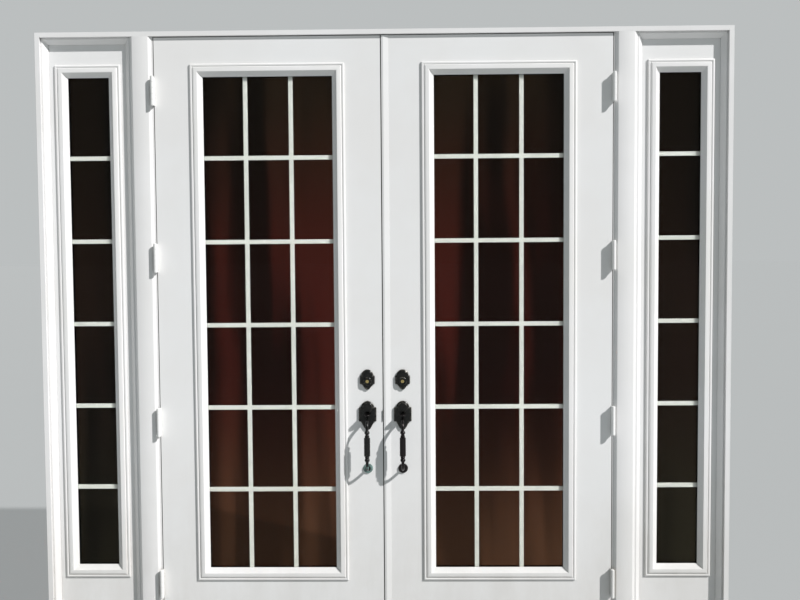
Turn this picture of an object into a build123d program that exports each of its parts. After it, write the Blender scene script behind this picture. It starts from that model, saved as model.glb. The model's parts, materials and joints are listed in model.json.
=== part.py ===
from build123d import *
import math
import os

# A pair of outswing patio doors with two fixed sidelites in one frame.
# X runs along the unit, +Y from outside to inside, +Z up. Y = 0 is the outer face of the closed
# door leaves, X = 0 the line between them, Z = 0 the underside of the sill. Millimetres.

# Door leaves
leaf_width = 908.0
leaf_height = 2432.0
leaf_thickness = 44.5
meeting_half = 10.0
lock_edge_bevel = 2.3
jamb_gap = 3.0
sweep_clearance = 0.4

# Glass lites: what shows of the glass is left by the stiles and rails, lite frame included
door_stile = 194.0
top_rail = 157.0
bottom_rail = 275.0
sidelite_stile = 94.0
sidelite_lite_raise = 6.0
row_count = 6
door_column_count = 3
muntin_width = 17.0
muntin_depth = 6.0
lite_face = 50.0
cutout_lap = 18.0
lite_crest = 12.0
lite_edge = 6.0
lite_bead = 10.0
lite_bead_rise = 3.0
lite_ridge = 28.0
lite_leg = 2.2
lite_lip = 2.0
glass_setback = 8.0
pane_thickness = 3.0
air_gap = 12.7
glass_edge_gap = 3.0
spacer_width = 7.0
lip_clearance = 0.3

# Frame
jamb_face = 19.0
jamb_stop = 12.7
stop_joint = 0.2
frame_depth = 116.0
frame_proud = 11.0
rabbet_gap = 3.5
panel_width = 354.0
panel_setback = 25.0
panel_side_gap = 2.5
panel_back_gap = 0.5
mull_width = 94.0
casing_inset = 5.0
casing_slope = 13.0
casing_reveal = 0.8
casing_edge = 1.6
bead_slope = 17.0
bead_set = 2.0
bead_height = 6.0
bead_round = 2.0
bead_toe = 3.0

# Sill
sill_nose = 28.0
sill_nose_height = 8.0
deck_gauge = 2.5
deck_fall = 14.0
deck_height = 24.0
sill_gap = 12.0
sill_stop = 8.0

# Hinges
hinge_count = 4
hinge_end = 215.0
hinge_height = 114.3
hinge_edge_margin = 6.5
hinge_gauge = 3.0
hinge_throw = 24.0
barrel_radius = 7.5
pin_radius = 3.5
pin_clearance = 0.05
knuckle_count = 5
knuckle_gap = 0.3
barrel_clearance = 0.8
pin_cap_height = 2.5
pin_cap_radius = 6.5

# Astragal
astragal_gap = 4.0
astragal_face = 8.0
astragal_slope = 20.0
astragal_rim = 2.8
astragal_proud = 4.5
astragal_lip = 1.2

# Lockset
backset = 61.5
latch_up = 906.0
lock_spacing = 139.7
plate_drop = 3.7
rose_rise = 5.0
cross_bore_radius = 27.0
edge_bore_radius = 12.5
case_length = 48.0
faceplate_width = 25.0
faceplate_height = 57.0
faceplate_gauge = 2.1
faceplate_sink = 4.0
bolt_clearance = 0.3
latch_width = 11.0
latch_height = 14.0
latch_throw = 12.7
deadbolt_width = 14.0
deadbolt_height = 18.0
deadbolt_throw = 25.4
bolt_length = 40.0
bolt_chamfer = 1.5
latch_nose = 2.0
latch_ramp = 10.2
pocket_clearance = 2.5
strike_gauge = 1.5
strike_height = 44.0
strike_depth = 30.0
deadbolt_strike_height = 57.0

# Handle plate, rose and grip
plate_width = 71.0
plate_body = 57.0
plate_dome = 26.0
plate_top = 54.5
plate_bottom = 63.0
plate_foot_width = 53.0
plate_foot_radius = 14.0
plate_thickness = 9.5
plate_chamfer = 3.0
plate_corner = 2.0
boss_radius = 21.0
boss_thickness = 12.5
boss_taper = 12.0
rose_width = 60.0
rose_body = 34.0
rose_dome = 24.0
rose_top = 42.0
rose_bottom = 40.0
rose_foot_width = 44.0
rose_foot_radius = 12.0
rose_thickness = 9.5
cylinder_radius = 19.0
cylinder_nose_radius = 15.0
cylinder_proud = 18.0
key_plug_radius = 6.5
key_plug_clearance = 0.05
keyway_width = 2.0
keyway_height = 8.0
keyway_depth = 4.0
grip_standoff = 65.0
neck_radius = 6.0
neck_start = 16.0
neck_bend = 14.0
grip_radius = 12.25
grip_body_top = 84.2
grip_body_length = 73.3
grip_shoulder = 2.2
shoulder_radius = 8.0
ring_slope = 2.0
ring_length = 4.0
bead_radius = 10.5
ring_radius = 9.2
bead_length = 13.0
collar_radius = 7.0
collar_length = 4.0
collar_step = 3.0
foot_drop = 222.3
foot_radius = 20.0
foot_thickness = 6.0
post_radius = 5.5
post_start = 34.0
thumb_width = 24.0
thumb_reach = 54.0
thumb_gauge = 5.0
thumb_rise = 3.0
thumb_slot_clearance = 1.5
thumb_side_clearance = 0.3
thumb_arm = 12.0
thumb_shoulder = 10.0
thumb_crown = 7.0
thumb_round = 1.5
thumb_pin_radius = 2.0
thumb_pin_clearance = 0.1
thumb_pin_length = 20.0

# Inside trim
inside_rose_radius = 33.0
inside_rose_thickness = 9.0
knob_radius = 27.0
knob_reach = 62.0
knob_neck_radius = 11.0
knob_neck_length = 25.0
knob_flare = 4.0
knob_belly = 20.0
running_gap = 0.3
thumbturn_length = 38.0
thumbturn_width = 11.0
thumbturn_collar_radius = 9.0
thumbturn_collar = 8.0
thumbturn_blade = 16.0

# Flush bolts in the astragal
flush_bolt_radius = 4.0
flush_strike_width = 14.0
flush_bolt_length = 160.0
flush_bolt_clearance = 0.3
flush_bolt_x = 2.0
flush_bolt_rise = 16.0
flush_bolt_drop = 26.0
flush_bolt_inset = 1.0
flush_bolt_end_gap = 2.0
thumb_slide_gap = 1.0
thumb_slide_up = 135.0
thumb_slide_length = 18.0
thumb_slide_proud = 1.2
thumb_slide_width = 6.0

# Weatherstrip
seal_clearance = 0.3
seal_width = 9.0
astragal_seal_proud = 1.0
kerf_width = 3.0
kerf_depth = 6.0

# Sweeps under the leaves
sweep_plate = 3.0
sweep_inset = 3.0
fin_width = 2.0
fin_inset = 13.0
fin_groove = 1.5
fin_clearance = 0.1

# Places worked out from the sizes above
leaf_bottom = deck_height + sill_gap
riser_height = leaf_bottom + sill_stop
door_rabbet = leaf_thickness + rabbet_gap
hinge_leaf_depth = leaf_thickness - hinge_edge_margin
door_glass_width = leaf_width - 2 * door_stile
sidelite_glass_width = panel_width - 2 * sidelite_stile
glass_height = leaf_height - bottom_rail - top_rail
hinge_edge = meeting_half + leaf_width
door_side = hinge_edge + jamb_gap
leaf_top = leaf_bottom + leaf_height
head_under = leaf_top + jamb_gap
head_top = head_under + jamb_face
mull_outer = door_side + mull_width
panel_inner = mull_outer + panel_side_gap
panel_outer = panel_inner + panel_width
jamb_inner = panel_outer + panel_side_gap
jamb_outer = jamb_inner + jamb_face
panel_stop = panel_setback + leaf_thickness + panel_back_gap
leaf_centre = meeting_half + leaf_width / 2
panel_centre = (panel_inner + panel_outer) / 2
door_lite_z = leaf_bottom + bottom_rail + glass_height / 2
sidelite_lite_z = door_lite_z + sidelite_lite_raise
hinge_axis_x = hinge_edge + jamb_gap / 2
hinge_pitch = (leaf_height - 2 * hinge_end) / (hinge_count - 1)
hinge_heights = [leaf_bottom + hinge_end + i * hinge_pitch for i in range(hinge_count)]
lock_x = meeting_half + backset
latch_z = leaf_bottom + latch_up
deadbolt_z = latch_z + lock_spacing
plate_z = latch_z + plate_drop
rose_z = deadbolt_z + rose_rise
leaf_middle = leaf_thickness / 2
astragal_edge = meeting_half - astragal_gap
thumb_z = plate_z + thumb_rise
thumb_pin_y = plate_thickness / 2
igu_thickness = 2 * pane_thickness + air_gap
bottom_bolt_reach = leaf_bottom + flush_bolt_inset - flush_bolt_drop - flush_bolt_end_gap
top_bolt_reach = leaf_top - flush_bolt_inset + flush_bolt_rise + flush_bolt_end_gap


def box_between(low, high, mode=Mode.ADD):
    """A box from its lowest corner to its highest, in the part that is being built."""
    size = [b - a for a, b in zip(low, high)]
    middle = [(a + b) / 2 for a, b in zip(low, high)]
    with Locations(tuple(middle)):
        Box(*size, mode=mode)


def mirrored(piece):
    """The same piece on the other side of the unit."""
    with BuildPart() as other:
        mirror(piece.part, about=Plane.YZ)
    return other


# Sill: a sloped composite base, a bent metal deck on it and a raised shelf behind the doors
def sill_section(with_deck):
    """Section of the sill in Y and Z; the base alone stops under the deck."""
    drop = 0 if with_deck else deck_gauge
    Polyline(
        (-sill_nose + drop, 0),
        (-sill_nose + drop, sill_nose_height - drop),
        (0, deck_height - deck_fall / 4 - drop),
        (door_rabbet, deck_height - drop),
        (door_rabbet, riser_height),
        (frame_depth, riser_height),
        (frame_depth, 0),
        close=True,
    )


def sill_sketch(with_deck):
    """Sill section as a face on the plane across the unit at its left end."""
    with BuildSketch(Plane.YZ.offset(-jamb_inner)) as section:
        with BuildLine():
            sill_section(with_deck)
        make_face()
    return section.sketch


def strike_pocket(low, high):
    """Pocket for a flush bolt in the sill or the head that is being built."""
    half = flush_strike_width / 2
    box_between(
        (flush_bolt_x - half, leaf_middle - half, low),
        (flush_bolt_x + half, leaf_middle + half, high),
        Mode.SUBTRACT,
    )


riser_corners = ((-jamb_inner, door_rabbet, deck_height - deck_gauge), (jamb_inner, frame_depth, riser_height))
with BuildPart() as sill_riser:
    box_between(*riser_corners)

with BuildPart() as sill_base:
    extrude(sill_sketch(False), amount=2 * jamb_inner)
    box_between(*riser_corners, Mode.SUBTRACT)
    strike_pocket(bottom_bolt_reach, deck_height)

with BuildPart() as sill_deck:
    extrude(sill_sketch(True), amount=2 * jamb_inner)
    extrude(sill_sketch(False), amount=2 * jamb_inner, mode=Mode.SUBTRACT)
    strike_pocket(bottom_bolt_reach, deck_height)

# Frame boards: side jambs, a mull post beside each door, and the head over all of them
with BuildPart() as side_jambs:
    box_between((jamb_inner, -frame_proud, 0), (jamb_outer, frame_depth, head_top))
    mirror(about=Plane.YZ)

with BuildPart() as right_mull_post:
    box_between((door_side, 0, 0), (mull_outer, frame_depth, head_under))
    extrude(sill_sketch(True), amount=2 * jamb_inner, mode=Mode.SUBTRACT)
    for z in hinge_heights:
        box_between(
            (door_side, 0, z - hinge_height / 2),
            (door_side + hinge_gauge, hinge_leaf_depth, z + hinge_height / 2),
            Mode.SUBTRACT,
        )
left_mull_post = mirrored(right_mull_post)

with BuildPart() as head_jamb:
    box_between((-jamb_inner, -frame_proud, head_under), (jamb_inner, frame_depth, head_top))
    strike_pocket(head_under, top_bolt_reach)


# Stops: strips on the boards that the doors and the sidelite panels close against
def stop_strips(low_x, high_x, low_y):
    """Two upright strips and one under the head, in the opening from low_x to high_x."""
    stop_under = head_under - jamb_stop
    box_between((low_x, low_y, stop_under), (high_x, frame_depth, head_under))
    for inner, outer in ((low_x, low_x + jamb_stop), (high_x - jamb_stop, high_x)):
        box_between((inner, low_y, riser_height), (outer, frame_depth, stop_under - stop_joint))


with BuildPart() as frame_stops:
    stop_strips(-door_side, door_side, door_rabbet)
    stop_strips(mull_outer, jamb_inner, panel_stop)
    stop_strips(-jamb_inner, -mull_outer, panel_stop)
    # Grooves for the weatherstrip's barbs
    groove_start = door_side - jamb_stop + seal_width / 2
    groove_end = groove_start + kerf_width
    groove_back = door_rabbet + kerf_depth
    for low_x, high_x in ((-groove_end, -groove_start), (groove_start, groove_end)):
        box_between(
            (low_x, door_rabbet, riser_height),
            (high_x, groove_back, head_under - jamb_stop),
            Mode.SUBTRACT,
        )
    groove_z = head_under - jamb_stop + seal_width / 2
    box_between(
        (-door_side + jamb_stop, door_rabbet, groove_z),
        (door_side - jamb_stop, groove_back, groove_z + kerf_width),
        Mode.SUBTRACT,
    )

# Casing on each mull post: flat face between two ogee slopes
casing_start = door_side + casing_inset
casing_flat_start = casing_start + casing_slope
casing_end = mull_outer - casing_reveal
casing_flat_end = casing_end - casing_slope
with BuildPart() as mull_casings:
    with BuildSketch(Plane.XY):
        with BuildLine():
            Line((casing_start, 0), (casing_start, -casing_edge))
            Spline(
                (casing_start, -casing_edge),
                (casing_start + casing_slope * 0.45, -frame_proud * 0.45),
                (casing_flat_start, -frame_proud),
                tangents=((1, -0.2), (1, -0.25)),
            )
            Line((casing_flat_start, -frame_proud), (casing_flat_end, -frame_proud))
            Spline(
                (casing_flat_end, -frame_proud),
                (casing_flat_end + casing_slope * 0.55, -frame_proud * 0.45),
                (casing_end, -casing_edge),
                tangents=((1, 0.25), (1, 0.2)),
            )
            Polyline((casing_end, -casing_edge), (casing_end, 0), (casing_start, 0))
        make_face()
    extrude(amount=head_under)
    extrude(sill_sketch(True), amount=2 * jamb_inner, mode=Mode.SUBTRACT)
    mirror(about=Plane.YZ)


# Lites: two panes, a flat grille with its spacer between them, and a moulded frame each side
def lite_panes(x, z, width, face_y):
    """The two panes of one sealed glass unit."""
    grow = 2 * (cutout_lap - glass_edge_gap)
    outer_y = face_y + glass_setback
    with BuildPart() as panes:
        for y in (outer_y, outer_y + pane_thickness + air_gap):
            with BuildSketch(Plane.XZ.offset(-y)):
                with Locations((x, z)):
                    Rectangle(width + grow, glass_height + grow)
            extrude(amount=-pane_thickness)
    return panes


def lite_grille(x, z, width, face_y, columns):
    """Flat bars that share out the glass evenly in the air gap, run into the spacer round it."""
    grow = 2 * (cutout_lap - glass_edge_gap)
    full = (width + grow, glass_height + grow)
    clear = (full[0] - 2 * spacer_width, full[1] - 2 * spacer_width)
    gap_start = face_y + glass_setback + pane_thickness
    bar_start = gap_start + (air_gap - muntin_depth) / 2
    with BuildPart() as grille:
        with BuildSketch(Plane.XZ.offset(-gap_start)):
            with Locations((x, z)):
                Rectangle(*full)
                Rectangle(*clear, mode=Mode.SUBTRACT)
        extrude(amount=-air_gap)
        with BuildSketch(Plane.XZ.offset(-bar_start)):
            with Locations((x, z)):
                with GridLocations(0, full[1] / row_count, 1, row_count - 1):
                    Rectangle(clear[0], muntin_width)
                if columns > 1:
                    with GridLocations(full[0] / columns, 0, columns - 1, 1):
                        Rectangle(muntin_width, clear[1])
        extrude(amount=-muntin_depth)
    return grille


def moulded_ring(x, z, width, face_y, outward, lip_level, leg_end):
    """Lite frame: a beaded moulding that laps the panel and the glass, carried round the opening.

    outward is -1 outside and 1 inside; lip_level and leg_end are how far the lip and the leg
    reach below the panel's face.
    """
    leg_face = lite_face - cutout_lap + lip_clearance
    leg_inner = leg_face + lite_leg
    half_w = width / 2 + lite_face
    half_h = glass_height / 2 + lite_face
    quirk = lite_bead + lite_bead_rise / 2
    cove = quirk + lite_bead_rise
    hollow = (lite_ridge + lite_face) / 2
    start = (x - half_w, face_y, z)
    with BuildPart() as ring:
        with BuildLine():
            Polyline(
                start,
                (x - half_w, face_y, z + outward * half_h),
                (x + half_w, face_y, z + outward * half_h),
                (x + half_w, face_y, z - outward * half_h),
                (x - half_w, face_y, z - outward * half_h),
                start,
            )
        with BuildSketch(Plane(origin=start, x_dir=(1, 0, 0), z_dir=(0, 0, outward))):
            with BuildLine():
                Line((0, 0), (0, lite_edge))
                ThreePointArc(
                    (0, lite_edge),
                    (lite_bead / 2, lite_edge + lite_bead_rise),
                    (lite_bead, lite_edge),
                )
                Polyline((lite_bead, lite_edge), (quirk, lite_edge * 0.8), (cove, lite_crest * 0.7))
                ThreePointArc(
                    (cove, lite_crest * 0.7),
                    ((cove + lite_ridge) / 2, lite_crest * 0.94),
                    (lite_ridge, lite_crest),
                )
                ThreePointArc(
                    (lite_ridge, lite_crest),
                    (hollow - lite_bead_rise, (lite_crest - lip_level) / 2 + lite_lip),
                    (lite_face, -lip_level + lite_lip),
                )
                Polyline(
                    (lite_face, -lip_level + lite_lip),
                    (lite_face, -lip_level),
                    (leg_inner, -lip_level),
                    (leg_inner, -leg_end),
                    (leg_face, -leg_end),
                    (leg_face, 0),
                    (0, 0),
                )
            make_face()
        sweep(transition=Transition.RIGHT)
    return ring


def lite_frames(x, z, width, face_y):
    """Outer and inner lite frame; their legs meet in the middle of the panel."""
    back_y = face_y + leaf_thickness
    outer_lip = glass_setback - lip_clearance
    inner_lip = leaf_thickness - glass_setback - igu_thickness - lip_clearance
    outer = moulded_ring(x, z, width, face_y, -1, outer_lip, leaf_middle - lip_clearance)
    inner = moulded_ring(x, z, width, back_y, 1, inner_lip, leaf_middle - lip_clearance)
    return outer, inner


def cut_lite(x, z, width, face_y):
    """Opening for a lite in the panel that is being built."""
    with BuildSketch(Plane.XZ.offset(-face_y)) as opening:
        with Locations((x, z)):
            Rectangle(width + 2 * cutout_lap, glass_height + 2 * cutout_lap)
    extrude(opening.sketch, amount=-leaf_thickness, mode=Mode.SUBTRACT)


# Sidelite panels, standing on the sill's shelf
with BuildPart() as right_sidelite_panel:
    box_between(
        (panel_inner, panel_setback, riser_height),
        (panel_outer, panel_setback + leaf_thickness, head_under - panel_side_gap),
    )
    cut_lite(panel_centre, sidelite_lite_z, sidelite_glass_width, panel_setback)
left_sidelite_panel = mirrored(right_sidelite_panel)

right_sidelite_glass = lite_panes(panel_centre, sidelite_lite_z, sidelite_glass_width, panel_setback)
left_sidelite_glass = mirrored(right_sidelite_glass)
right_sidelite_grille = lite_grille(panel_centre, sidelite_lite_z, sidelite_glass_width, panel_setback, 1)
left_sidelite_grille = mirrored(right_sidelite_grille)
right_sidelite_outer_frame, right_sidelite_inner_frame = lite_frames(
    panel_centre, sidelite_lite_z, sidelite_glass_width, panel_setback
)
left_sidelite_outer_frame = mirrored(right_sidelite_outer_frame)
left_sidelite_inner_frame = mirrored(right_sidelite_inner_frame)


# Sloped beads in front of each sidelite panel, one at each side, one on the shelf, one at the head
def bead_section(edge, direction):
    """Bead section: distance along the opening, then Y, with a flat nose and a long slope."""
    back = panel_setback - lip_clearance
    nose = edge + direction * bead_height
    toe = edge + direction * (bead_height + bead_slope)
    return [
        (edge, bead_set),
        (nose, bead_set),
        (nose + direction * bead_round, bead_set + bead_round),
        (toe, back - bead_toe),
        (toe, back),
        (edge, back),
    ]


with BuildPart() as sidelite_stops:
    for side in (-1, 1):
        for edge, direction in ((side * mull_outer, side), (side * jamb_inner, -side)):
            with BuildSketch(Plane.XY):
                with BuildLine():
                    Polyline(*bead_section(edge, direction), close=True)
                make_face()
            extrude(amount=head_under)
        inner, outer = sorted((side * (mull_outer + bead_height), side * (jamb_inner - bead_height)))
        for edge, direction in ((riser_height - bead_height, 1), (head_under, -1)):
            with BuildSketch(Plane.YZ.offset(inner)):
                with BuildLine():
                    Polyline(*[(y, z) for z, y in bead_section(edge, direction)], close=True)
                make_face()
            extrude(amount=outer - inner)
        box_between(
            (inner, bead_set, 0),
            (outer, panel_setback - lip_clearance, riser_height - bead_height),
        )
    extrude(sill_sketch(True), amount=2 * jamb_inner, mode=Mode.SUBTRACT)


# Hinges: wide-throw butt hinges whose barrels stand in front of the casing
knuckle_length = hinge_height / knuckle_count


def hinge_leaf(z, plate_x, frame_side, knuckles):
    """One leaf of a hinge on the right-hand side of the unit."""
    low = z - hinge_height / 2
    start = min(plate_x, plate_x + frame_side * hinge_gauge)
    box_between(
        (start, -hinge_throw + barrel_radius + barrel_clearance, low),
        (start + hinge_gauge, hinge_leaf_depth, low + hinge_height),
    )
    for k in knuckles:
        bottom = low + k * knuckle_length + (knuckle_gap / 2 if k > 0 else 0)
        top = low + (k + 1) * knuckle_length - (knuckle_gap / 2 if k < knuckle_count - 1 else 0)
        with BuildSketch(Plane.XY.offset(bottom)) as barrel:
            with Locations((hinge_axis_x, -hinge_throw)):
                Circle(barrel_radius)
        extrude(barrel.sketch, amount=top - bottom)
        box_between(
            (start, -hinge_throw, bottom),
            (start + hinge_gauge, -hinge_throw + barrel_radius + 2 * barrel_clearance, top),
        )
        with BuildSketch(Plane.XY.offset(bottom)) as bore:
            with Locations((hinge_axis_x, -hinge_throw)):
                Circle(pin_radius + pin_clearance)
        extrude(bore.sketch, amount=top - bottom, mode=Mode.SUBTRACT)


frame_knuckles = range(0, knuckle_count, 2)
door_knuckles = range(1, knuckle_count, 2)
with BuildPart() as frame_hinge_leaves:
    for z in hinge_heights:
        hinge_leaf(z, door_side, 1, frame_knuckles)
    mirror(about=Plane.YZ)

with BuildPart() as right_door_hinge_leaves:
    for z in hinge_heights:
        hinge_leaf(z, hinge_edge, -1, door_knuckles)
left_door_hinge_leaves = mirrored(right_door_hinge_leaves)

with BuildPart() as hinge_pins:
    for z in hinge_heights:
        with BuildSketch(Plane.XY.offset(z - hinge_height / 2 - pin_cap_height)):
            with Locations((hinge_axis_x, -hinge_throw)):
                Circle(pin_radius)
        extrude(amount=hinge_height + 2 * pin_cap_height)
        for cap in (z - hinge_height / 2 - pin_cap_height, z + hinge_height / 2):
            with BuildSketch(Plane.XY.offset(cap)):
                with Locations((hinge_axis_x, -hinge_throw)):
                    Circle(pin_cap_radius)
            extrude(amount=pin_cap_height)
    mirror(about=Plane.YZ)


# Slabs
def hinge_mortises():
    """Recesses for the hinge leaves in the right-hand slab's outer edge."""
    for z in hinge_heights:
        box_between(
            (hinge_edge - hinge_gauge, 0, z - hinge_height / 2),
            (hinge_edge, hinge_leaf_depth, z + hinge_height / 2),
            Mode.SUBTRACT,
        )


def bolt_hole(start, length, width, height, z):
    """Rectangular pocket along X round the middle of the slab's thickness."""
    box_between(
        (start, leaf_middle - width / 2, z - height / 2),
        (start + length, leaf_middle + width / 2, z + height / 2),
        Mode.SUBTRACT,
    )


def trim_bores(x):
    """Cross bores for the lockset, through the slab."""
    with BuildSketch(Plane.XZ) as bores:
        with Locations((x, latch_z), (x, deadbolt_z)):
            Circle(cross_bore_radius)
    extrude(bores.sketch, amount=-leaf_thickness, mode=Mode.SUBTRACT)


faceplate_face = -meeting_half - faceplate_sink + faceplate_gauge
with BuildPart() as left_slab:
    with BuildSketch(Plane.XY.offset(leaf_bottom)):
        with BuildLine():
            Polyline(
                (hinge_edge, 0),
                (meeting_half, 0),
                (meeting_half + lock_edge_bevel, leaf_thickness),
                (hinge_edge, leaf_thickness),
                close=True,
            )
        make_face()
    extrude(amount=leaf_height)
    cut_lite(leaf_centre, door_lite_z, door_glass_width, 0)
    hinge_mortises()
    mirror(about=Plane.YZ, mode=Mode.REPLACE)
    trim_bores(-lock_x)
    for z in (latch_z, deadbolt_z):
        with BuildSketch(Plane.YZ.offset(-meeting_half)):
            with Locations((leaf_middle, z)):
                Circle(edge_bore_radius)
        extrude(amount=-backset, mode=Mode.SUBTRACT)
        bolt_hole(-meeting_half - faceplate_sink, faceplate_sink, faceplate_width, faceplate_height, z)

deadbolt_reach = faceplate_face + deadbolt_throw
with BuildPart() as right_slab:
    box_between((meeting_half, 0, leaf_bottom), (hinge_edge, leaf_thickness, leaf_top))
    cut_lite(leaf_centre, door_lite_z, door_glass_width, 0)
    hinge_mortises()
    trim_bores(lock_x)
    bolt_hole(
        meeting_half,
        deadbolt_reach - meeting_half + pocket_clearance,
        deadbolt_width + 2 * pocket_clearance,
        deadbolt_height + 2 * pocket_clearance,
        deadbolt_z,
    )

right_door_glass = lite_panes(leaf_centre, door_lite_z, door_glass_width, 0)
left_door_glass = mirrored(right_door_glass)
right_door_grille = lite_grille(leaf_centre, door_lite_z, door_glass_width, 0, door_column_count)
left_door_grille = mirrored(right_door_grille)
right_outer_lite_frame, right_inner_lite_frame = lite_frames(leaf_centre, door_lite_z, door_glass_width, 0)
left_outer_lite_frame = mirrored(right_outer_lite_frame)
left_inner_lite_frame = mirrored(right_inner_lite_frame)

# Sweeps: a plate under each slab with two fins in its grooves that stop just above the deck
with BuildPart() as right_sweep:
    sweep_start = meeting_half + sweep_inset
    sweep_end = hinge_edge - sweep_inset
    groove_top = leaf_bottom - sweep_plate + fin_groove
    box_between(
        (sweep_start, sweep_inset, leaf_bottom - sweep_plate),
        (sweep_end, leaf_thickness - sweep_inset, leaf_bottom),
    )
    for y in (fin_inset, leaf_thickness - fin_inset - fin_width):
        box_between(
            (sweep_start, y - fin_clearance, leaf_bottom - sweep_plate),
            (sweep_end, y + fin_width + fin_clearance, groove_top),
            Mode.SUBTRACT,
        )
        box_between(
            (sweep_start, y, deck_height + sweep_clearance),
            (sweep_end, y + fin_width, groove_top - fin_clearance),
        )
left_sweep = mirrored(right_sweep)

# Astragal on the passive leaf: fills the gap and shows a sloped moulding outside
with BuildPart() as astragal:
    with BuildSketch(Plane.XY.offset(leaf_bottom)):
        with BuildLine():
            Polyline(
                (-astragal_edge, leaf_thickness),
                (-astragal_edge, -astragal_rim),
                (-astragal_edge + astragal_face, -astragal_proud),
                (-astragal_edge + astragal_face + astragal_slope, -astragal_lip),
                (-astragal_edge + astragal_face + astragal_slope, 0),
                (meeting_half, 0),
                (meeting_half, leaf_thickness),
                (-astragal_edge, leaf_thickness),
            )
        make_face()
    extrude(amount=leaf_height)
    for z, width, height, reach in (
        (latch_z, latch_width, latch_height, faceplate_face + latch_throw),
        (deadbolt_z, deadbolt_width, deadbolt_height, meeting_half),
    ):
        depth = min(reach + pocket_clearance, meeting_half) + astragal_edge
        bolt_hole(-astragal_edge, depth, width + 2 * pocket_clearance, height + 2 * pocket_clearance, z)
    for start, end, throw in ((leaf_bottom, 1, flush_bolt_drop), (leaf_top, -1, flush_bolt_rise)):
        with BuildSketch(Plane.XY.offset(start)):
            with Locations((flush_bolt_x, leaf_middle)):
                Circle(flush_bolt_radius + flush_bolt_clearance)
        extrude(amount=end * (flush_bolt_length + flush_bolt_inset + flush_bolt_end_gap), mode=Mode.SUBTRACT)
        slide_start = start + end * thumb_slide_up
        slide_end = slide_start - end * (throw + thumb_slide_length + flush_bolt_end_gap)
        box_between(
            (
                -astragal_edge,
                leaf_middle - thumb_slide_width / 2 - flush_bolt_clearance,
                min(slide_start, slide_end) - thumb_slide_gap,
            ),
            (
                flush_bolt_x,
                leaf_middle + thumb_slide_width / 2 + flush_bolt_clearance,
                max(slide_start, slide_end) + thumb_slide_gap,
            ),
            Mode.SUBTRACT,
        )


def flush_bolt(start, end):
    """Round rod with a thumb slide, drawn back into the astragal."""
    with BuildPart() as bolt:
        with BuildSketch(Plane.XY.offset(start + end * flush_bolt_inset)):
            with Locations((flush_bolt_x, leaf_middle)):
                Circle(flush_bolt_radius)
        extrude(amount=end * flush_bolt_length)
        slide_start = start + end * thumb_slide_up
        slide_end = slide_start - end * thumb_slide_length
        box_between(
            (-astragal_edge - thumb_slide_proud, leaf_middle - thumb_slide_width / 2, min(slide_start, slide_end)),
            (flush_bolt_x, leaf_middle + thumb_slide_width / 2, max(slide_start, slide_end)),
        )
    return bolt


astragal_bottom_bolt = flush_bolt(leaf_bottom, 1)
astragal_top_bolt = flush_bolt(leaf_top, -1)

with BuildPart() as astragal_strikes:
    for z, height, hole_w, hole_h in (
        (latch_z, strike_height, latch_width, latch_height),
        (deadbolt_z, deadbolt_strike_height, deadbolt_width, deadbolt_height),
    ):
        box_between(
            (-astragal_edge - strike_gauge, leaf_middle - strike_depth / 2, z - height / 2),
            (-astragal_edge, leaf_middle + strike_depth / 2, z + height / 2),
        )
        bolt_hole(
            -astragal_edge - strike_gauge,
            strike_gauge,
            hole_w + 2 * pocket_clearance,
            hole_h + 2 * pocket_clearance,
            z,
        )
    # Curled lip of the latch strike, in front of the gap
    box_between(
        (-astragal_edge - strike_gauge, -astragal_proud, latch_z - strike_height / 2),
        (-astragal_edge, leaf_middle - strike_depth / 2, latch_z + strike_height / 2),
    )
    with BuildSketch(Plane.XY.offset(latch_z - strike_height / 2)):
        with Locations((-astragal_edge - strike_gauge, -astragal_proud)):
            Circle(strike_gauge)
    extrude(amount=strike_height)


# Lock cases, bolts and thumbturn in the active leaf
def bolt_case(z, width, height):
    """Tubular case with its faceplate, open along the bolt."""
    back = -meeting_half - faceplate_sink
    with BuildSketch(Plane.YZ.offset(back)) as tube:
        with Locations((leaf_middle, z)):
            Circle(edge_bore_radius - bolt_clearance)
    extrude(tube.sketch, amount=-case_length)
    box_between(
        (back, leaf_middle - faceplate_width / 2, z - faceplate_height / 2),
        (faceplate_face, leaf_middle + faceplate_width / 2, z + faceplate_height / 2),
    )
    box_between(
        (back - case_length, leaf_middle - width / 2 - bolt_clearance, z - height / 2 - bolt_clearance),
        (faceplate_face, leaf_middle + width / 2 + bolt_clearance, z + height / 2 + bolt_clearance),
        Mode.SUBTRACT,
    )


with BuildPart() as left_lock_cases:
    bolt_case(latch_z, latch_width, latch_height)
    bolt_case(deadbolt_z, deadbolt_width, deadbolt_height)

with BuildPart() as latch_bolt:
    with BuildSketch(Plane.XY.offset(latch_z - latch_height / 2)):
        with BuildLine():
            Polyline(
                (faceplate_face, leaf_middle - latch_width / 2),
                (faceplate_face, leaf_middle - latch_width / 2 + latch_nose),
                (faceplate_face - latch_ramp, leaf_middle + latch_width / 2),
                (faceplate_face - bolt_length, leaf_middle + latch_width / 2),
                (faceplate_face - bolt_length, leaf_middle - latch_width / 2),
                close=True,
            )
        make_face()
    extrude(amount=latch_height)

with BuildPart() as deadbolt:
    box_between(
        (faceplate_face - bolt_length, leaf_middle - deadbolt_width / 2, deadbolt_z - deadbolt_height / 2),
        (faceplate_face, leaf_middle + deadbolt_width / 2, deadbolt_z + deadbolt_height / 2),
    )
    chamfer(deadbolt.faces().sort_by(Axis.X)[-1].edges(), bolt_chamfer)


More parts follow.
